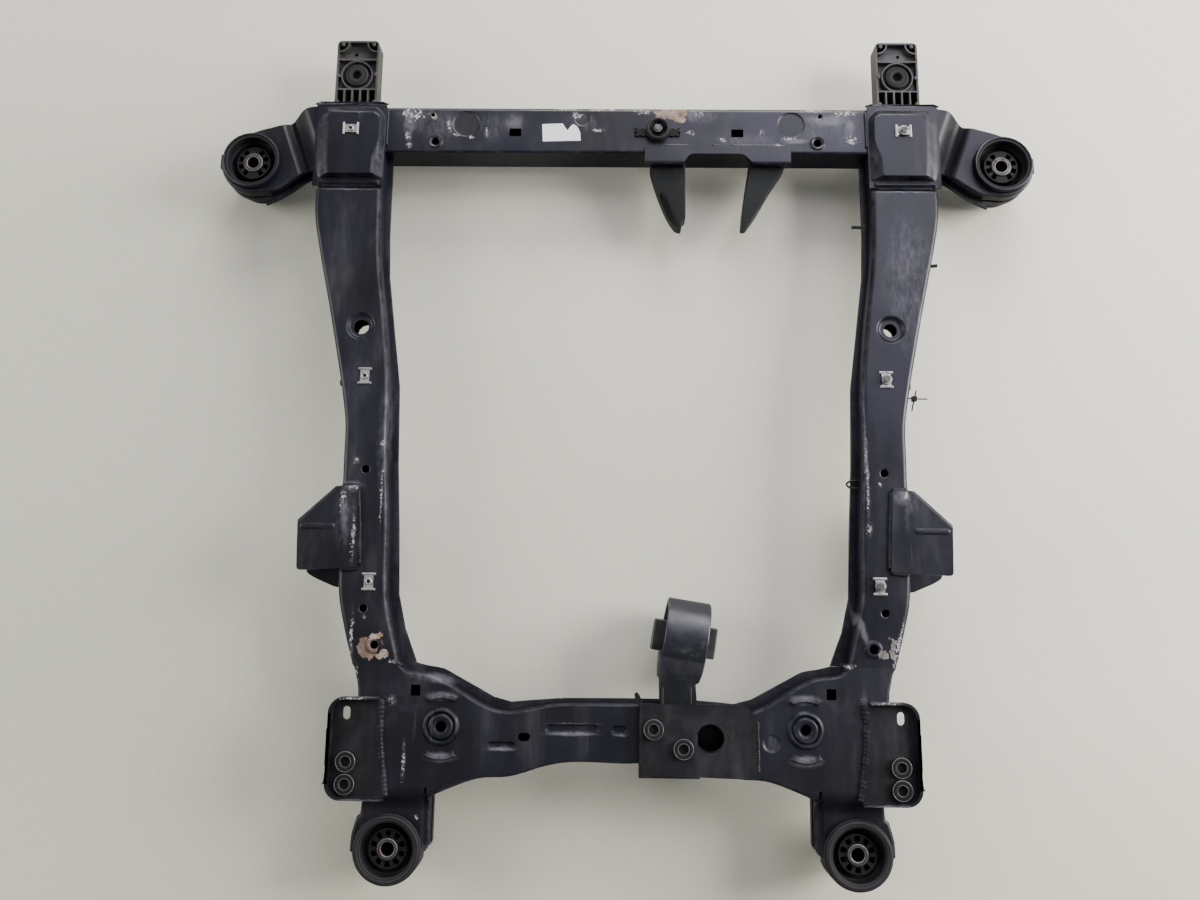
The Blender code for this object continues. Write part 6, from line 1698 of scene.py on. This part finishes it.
def local(place, turn, slope=0.0):
    """The matrix of a small piece that stands at a place of the car part, turned and tilted."""
    x, y, z = place
    stand = Matrix.Translation((x, y + SHIFT, z))
    return stand @ Matrix.Rotation(turn, 4, 'Z') @ Matrix.Rotation(slope, 4, 'Y')


def make_clip(node, place, turn, slope, screw):
    """A folded spring nut: an H of zinc sheet with turned-up end bars, a drawn collar and pinch tongues."""
    length, bar, waist, width, sheet = 0.01075, 0.0085, 0.0056, 0.003, 0.0012
    shape = [(-length, -bar), (width - length, -bar), (width - length, -waist), (length - width, -waist),
        (length - width, -bar), (length, -bar), (length, bar), (length - width, bar),
        (length - width, waist), (width - length, waist), (width - length, bar), (-length, bar)]
    place_matrix = local(place, turn, slope)
    bore = circle(0, 0, 0.0023, 20)
    slits = [[(-0.0046, -0.004), (0.0046, -0.004), (0.0046, -0.0034), (-0.0046, -0.0034)],
        [(-0.0046, 0.0034), (0.0046, 0.0034), (0.0046, 0.004), (-0.0046, 0.004)]]
    mesh = plate([shape, bore, *slits], 0.0, sheet, False, 0.0)
    piece("dress_" + node, mesh, ZINC, [node], 30, place_matrix)
    for number, x in ((1, -length + width / 2), (2, length - width / 2)):
        ends = tube([(x, -bar + 0.0006, sheet * 0.9), (x, bar - 0.0006, sheet * 0.9)], 0.0012, 10)
        mesh = from_work(ends)
        piece("bar_%s_%d" % (node, number), mesh, ZINC, (), 50, place_matrix)
    collar = lathe([(0.0023, sheet), (0.0044, sheet), (0.0036, sheet + 0.0012), (0.0023, sheet + 0.0013)],
        28, radius=0.0002)
    piece("collar_" + node, collar, ZINC, (), 38, place_matrix)
    if screw:
        base = sheet + 0.0013
        washer = lathe([(0.0004, base), (0.0068, base), (0.0066, base + 0.0011), (0.0004, base + 0.0016)],
            36, radius=0.0003)
        piece("washer_" + screw, washer, RING_STEEL, (), 38, place_matrix)
        head = plate([circle(0, 0, 0.0048, 6)], base + 0.0012, base + 0.0036, False, 0.0005)
        piece("dress_" + screw, head, STEEL_NUT, [screw], 30, place_matrix)


def make_clips():
    """The six spring nuts on the saddles and rails, with screws in the three on the right."""
    level = BEAM_FACE + GAP + SHEET + SADDLE_RISE
    slope = atan2(RAIL_FACE - RAIL_FRONT_FACE, RAIL_STEP_Y - RAIL_STEP_RUN - RAIL_LEVEL_Y)
    for label, x, y, turn in (("front", 0.3645, 0.4285, 0.0), ("middle", 0.3275, 0.091, pi / 2),
            ("rear", 0.309, -0.166, pi / 2)):
        tilt = slope if label == "middle" else 0.0
        z = level if label == "front" else rail_level(x, y)
        for side, s in (("left", -1), ("right", 1)):
            screw = "screw_" + label if s > 0 else None
            make_clip("clip_%s_%s" % (label, side), (s * x, y, z + 0.0003), turn, tilt, screw)


def make_isolator():
    """The rubber isolator on the front crossmember, with its nut, stud and two ragged wings."""
    x, y = ISOLATOR
    foot = BEAM_FACE + GAP
    profile = [(0.0068, foot), (0.0152, foot), (0.0156, foot + 0.005, 0.002), (0.0148, foot + 0.009, 0.002),
        (0.0122, foot + 0.0095, 0.0015), (0.0112, foot + 0.006, 0.001), (0.01, foot + 0.003, 0.001),
        (0.0068, foot + 0.0028)]
    piece("dress_stud_isolator", lathe(profile, 64, (x, y, 0)), RUBBER, ["stud_isolator"])
    work = plate_work([circle(x, y, 0.006, 6), circle(x, y, 0.0031, 20)], foot, foot + 0.0085)
    bmesh.ops.dissolve_limit(work, angle_limit=radians(1), verts=work.verts, edges=work.edges)
    bevelled(work, 0.0005, 2, 40)
    piece("dress_stud_nut", from_work(work), STEEL_NUT, ["stud_nut"])
    for number, s, end in ((1, -1, 0.0308), (2, 1, 0.03)):
        wing = [(x + s * 0.012, 0.425), (x + s * 0.012, 0.4375), (x + s * 0.0165, 0.4352),
            (x + s * 0.02, 0.4374), (x + s * 0.024, 0.435), (x + s * 0.0272, 0.4374), (x + s * end, 0.4378),
            (x + s * (end - 0.003), 0.4345), (x + s * (end + 0.0004), 0.4322),
            (x + s * (end - 0.0042), 0.43), (x + s * end, 0.4266), (x + s * (end - 0.0045), 0.425),
            (x + s * 0.0235, 0.427), (x + s * 0.02, 0.4246), (x + s * 0.0165, 0.4262)]
        mesh = plate([wing[::-1] if s > 0 else wing], BEAM_FACE - 0.001, BEAM_FACE + 0.0024, False, 0.0005)
        piece("isolator_wing_%d" % number, mesh, RUBBER_DARK, (), 30)
    stud = tube([(x, y, foot + 0.001), (x, y, foot + 0.0098)], 0.0028, 16)
    piece("stud", from_work(stud), STEEL_NUT, (), 50)


def make_label():
    """The torn label: its upper right corner is torn off along a ragged line."""
    z = BEAM_FACE + 0.0002
    tear = [(-0.0606, 0.4191), (-0.0612, 0.4305), (-0.064, 0.437), (-0.0662, 0.4401), (-0.0704, 0.4428),
        (-0.074, 0.4395), (-0.0784, 0.4339), (-0.0812, 0.4378), (-0.0847, 0.4436)]
    line = [(-0.1121, 0.4425), (-0.1108, 0.4179)]
    for p, q in zip(tear, tear[1:]):
        for k in range(4):
            x, y = lerp(p, q, k / 4)
            shake = 0.0007 * noise.noise(Vector((x * 900.0, y * 900.0, 0)))
            line.append((x + shake, y - shake))
    line.append(tear[-1])
    piece("label", plate([line], z, z + 0.0002), PAPER, (), 30)


def make_small_pieces():
    """Plastic clips, side buttons and a cable tie left on the rails."""
    strap = [(0.348, 0.0695, 0.08), (0.356, 0.0688, 0.082), (0.364, 0.0684, 0.08), (0.373, 0.0692, 0.077),
        (0.382, 0.0697, 0.074)]
    tail = [(0.3665, 0.079, 0.08), (0.364, 0.069, 0.081), (0.3625, 0.062, 0.079), (0.3618, 0.054, 0.075)]
    loop = [(0.29 + 0.0112 * cos(tau * k / 28), -0.0388 + 0.005 * sin(tau * k / 28), 0.066)
        for k in range(27)]
    pin = [(0.316, 0.304, 0.06), (0.306, 0.304, 0.0605), (0.298, 0.304, 0.061)]
    barbs = [0.0016 + 0.0009 * (k % 2) for k in range(17)]
    stub = [(0.4, 0.252, 0.058), (0.4045, 0.252, 0.059), (0.4085, 0.2522, 0.06)]
    buttons = [[(s * 0.352, 0.089, 0.058), (s * 0.366, 0.089, 0.058)] for s in (-1, 1)]
    for name, line, radius, sides, finish in (("tie_strap", spline(strap, 6), 0.0009, 8, RUBBER_DARK),
            ("tie_tail", spline(tail, 5), 0.0009, 8, RUBBER_DARK), ("loop_clip", loop, 0.0013, 8, PLASTIC),
            ("push_clip_pin", spline(pin, 8), barbs, 8, PLASTIC),
            ("edge_clip", spline(stub, 4), 0.0024, 8, PLASTIC),
            ("side_button_left", buttons[0], 0.0042, 12, RUBBER_DARK),
            ("side_button_right", buttons[1], 0.0042, 12, RUBBER_DARK)):
        piece(name, from_work(tube(line, radius, sides)), finish, (), 50)
    head = [(0.3606, 0.0652), (0.3668, 0.0652), (0.3668, 0.0718), (0.3606, 0.0718)]
    mesh = plate([round_corners(head, 0.001, 3)], 0.077, 0.0825, False, 0.0006)
    piece("tie_head", mesh, RUBBER_DARK, (), 30)
    cap = lathe([(0.0002, 0.0), (0.0042, 0.0), (0.0036, 0.0016), (0.0002, 0.002)], 24, (0.315, 0.304, 0.06),
        Matrix.Rotation(-pi / 2, 4, 'Y'), 0.0003)
    piece("push_clip_cap", cap, PLASTIC)


def dress_cad(finish, *names):
    """CAD solids that show as they are get a finish and clean normals."""
    for name in names:
        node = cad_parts[name]
        node.data.materials.clear()
        node.data.materials.append(finish)
        join = node.modifiers.new("join", 'WELD')
        join.merge_threshold = 0.00001
        rounds = node.modifiers.new("soft edges", 'BEVEL')
        rounds.width = 0.0006
        rounds.segments = 2
        rounds.limit_method = 'ANGLE'
        rounds.angle_limit = radians(50)
        rounds.harden_normals = False
        weigh = node.modifiers.new("flat faces", 'WEIGHTED_NORMAL')
        weigh.keep_sharp = True
        for face in node.data.polygons:
            face.use_smooth = True


def make_welds():
    """The welds at the rails' tails and round the saddles."""
    for side, mirror in (("left", True), ("right", False)):
        z = RAIL_FACE - 0.001
        weld("weld_rail_tail_" + side, [(0.278, -0.2602, z), (0.2725, -0.2614, z),
            (0.268, -0.2638, z - 0.001), (0.264, -0.2672, z - 0.003)], 0.003, SIDE_PAINT[side], mirror)
        base = BEAM_FACE + GAP + 0.0008
        weld("weld_saddle_inner_" + side, [(SADDLE_INNER_X - 0.0008, 0.41, base),
            (SADDLE_INNER_X - 0.0008, 0.462, base)], 0.0022, PAINT_FRONT, mirror)
        weld("weld_saddle_rear_" + side, [(0.33, SADDLE_REAR_Y - 0.0002, base),
            (0.402, SADDLE_REAR_Y - 0.0002, base)], 0.002, SIDE_PAINT[side], mirror)


# Stage

def make_stage():
    """The floor, a weak even sky and four soft lamps."""
    bpy.ops.mesh.primitive_plane_add(size=9.0, location=(0, 0, -0.0002))
    ground = bpy.context.object
    ground.name = "floor"
    ground.data.materials.append(floor_finish())
    world = bpy.context.scene.world or bpy.data.worlds.new("world")
    bpy.context.scene.world = world
    world.use_nodes = True
    sky = world.node_tree.nodes["Background"]
    sky.inputs["Color"].default_value = (0.93, 0.95, 1.0, 1.0)
    sky.inputs["Strength"].default_value = 0.22
    lamps = (("sheen", (0.95, 1.45, 1.8), (0.1, 0.1, 0.0), (1.5, 1.3), 21.0, (0.8, 0.78, 1.0)),
        ("right", (2.9, 0.6, 1.35), (0.2, 0.0, 0.0), (1.6, 1.8), 165.0, (1.0, 0.99, 0.965)),
        ("left", (-2.8, 0.4, 1.3), (0.0, 0.0, 0.0), (1.6, 1.8), 49.0, (1.0, 0.99, 0.965)),
        ("top", (0.3, 2.9, 1.4), (0.0, 0.2, 0.0), (1.8, 1.0), 66.0, (1.0, 0.99, 0.97)))
    for name, place, aim, size, power, colour in lamps:
        data = bpy.data.lights.new(name, 'AREA')
        data.shape = 'RECTANGLE'
        data.size, data.size_y = size
        data.energy = power
        data.color = colour
        lamp = bpy.data.objects.new(name, data)
        lamp.location = place
        lamp.rotation_euler = (Vector(aim) - Vector(place)).to_track_quat('-Z', 'Y').to_euler()
        bpy.context.scene.collection.objects.link(lamp)


# The photograph's camera, fitted to matching points of the two halves
CAMERA_PLACE = (-0.0179, -0.2083, 1.2733)
CAMERA_TILT = radians(9.9)
CAMERA_YAW = 0.0103095
CAMERA_ROLL = 0.00844277
CAMERA_LENS = 29.1
SENSOR = 36.0


def make_camera():
    """The camera at the photograph's place and angle."""
    c, s = cos(CAMERA_TILT), sin(CAMERA_TILT)
    base = Matrix(((1, 0, 0), (0, -c, -s), (0, s, -c)))
    yaw = Matrix(((cos(CAMERA_YAW), 0, sin(CAMERA_YAW)), (0, 1, 0), (-sin(CAMERA_YAW), 0, cos(CAMERA_YAW))))
    roll = Matrix(((cos(CAMERA_ROLL), -sin(CAMERA_ROLL), 0), (sin(CAMERA_ROLL), cos(CAMERA_ROLL), 0),
        (0, 0, 1)))
    right, down, ahead = roll @ yaw @ base
    turn = Matrix((right, -down, -ahead)).transposed()
    data = bpy.data.cameras.new("camera")
    data.lens = CAMERA_LENS
    data.sensor_width = SENSOR
    camera = bpy.data.objects.new("camera", data)
    x, y, z = CAMERA_PLACE
    camera.matrix_world = Matrix.Translation((x, y + SHIFT, z)) @ turn.to_4x4()
    bpy.context.scene.collection.objects.link(camera)
    bpy.context.scene.camera = camera


make_camera()
make_stage()
make_beam()
for SIDE, MIRROR in (("left", True), ("right", False)):
    make_rail(SIDE, MIRROR)
    make_arm(SIDE, MIRROR)
    make_saddle(SIDE, MIRROR)
    make_arm_bracket(SIDE, MIRROR)
    make_rear_plate(SIDE, MIRROR)
    make_support(SIDE, MIRROR)
make_rear_beam()
make_centre_plate()
make_horns()
make_bushes()
make_torque_mount()
make_clips()
make_isolator()
make_label()
make_small_pieces()
make_welds()
dress_cad(PAINT_PLAIN, "front_beam_lower", "rear_beam_lower", "rail_lower_left", "rail_lower_right")
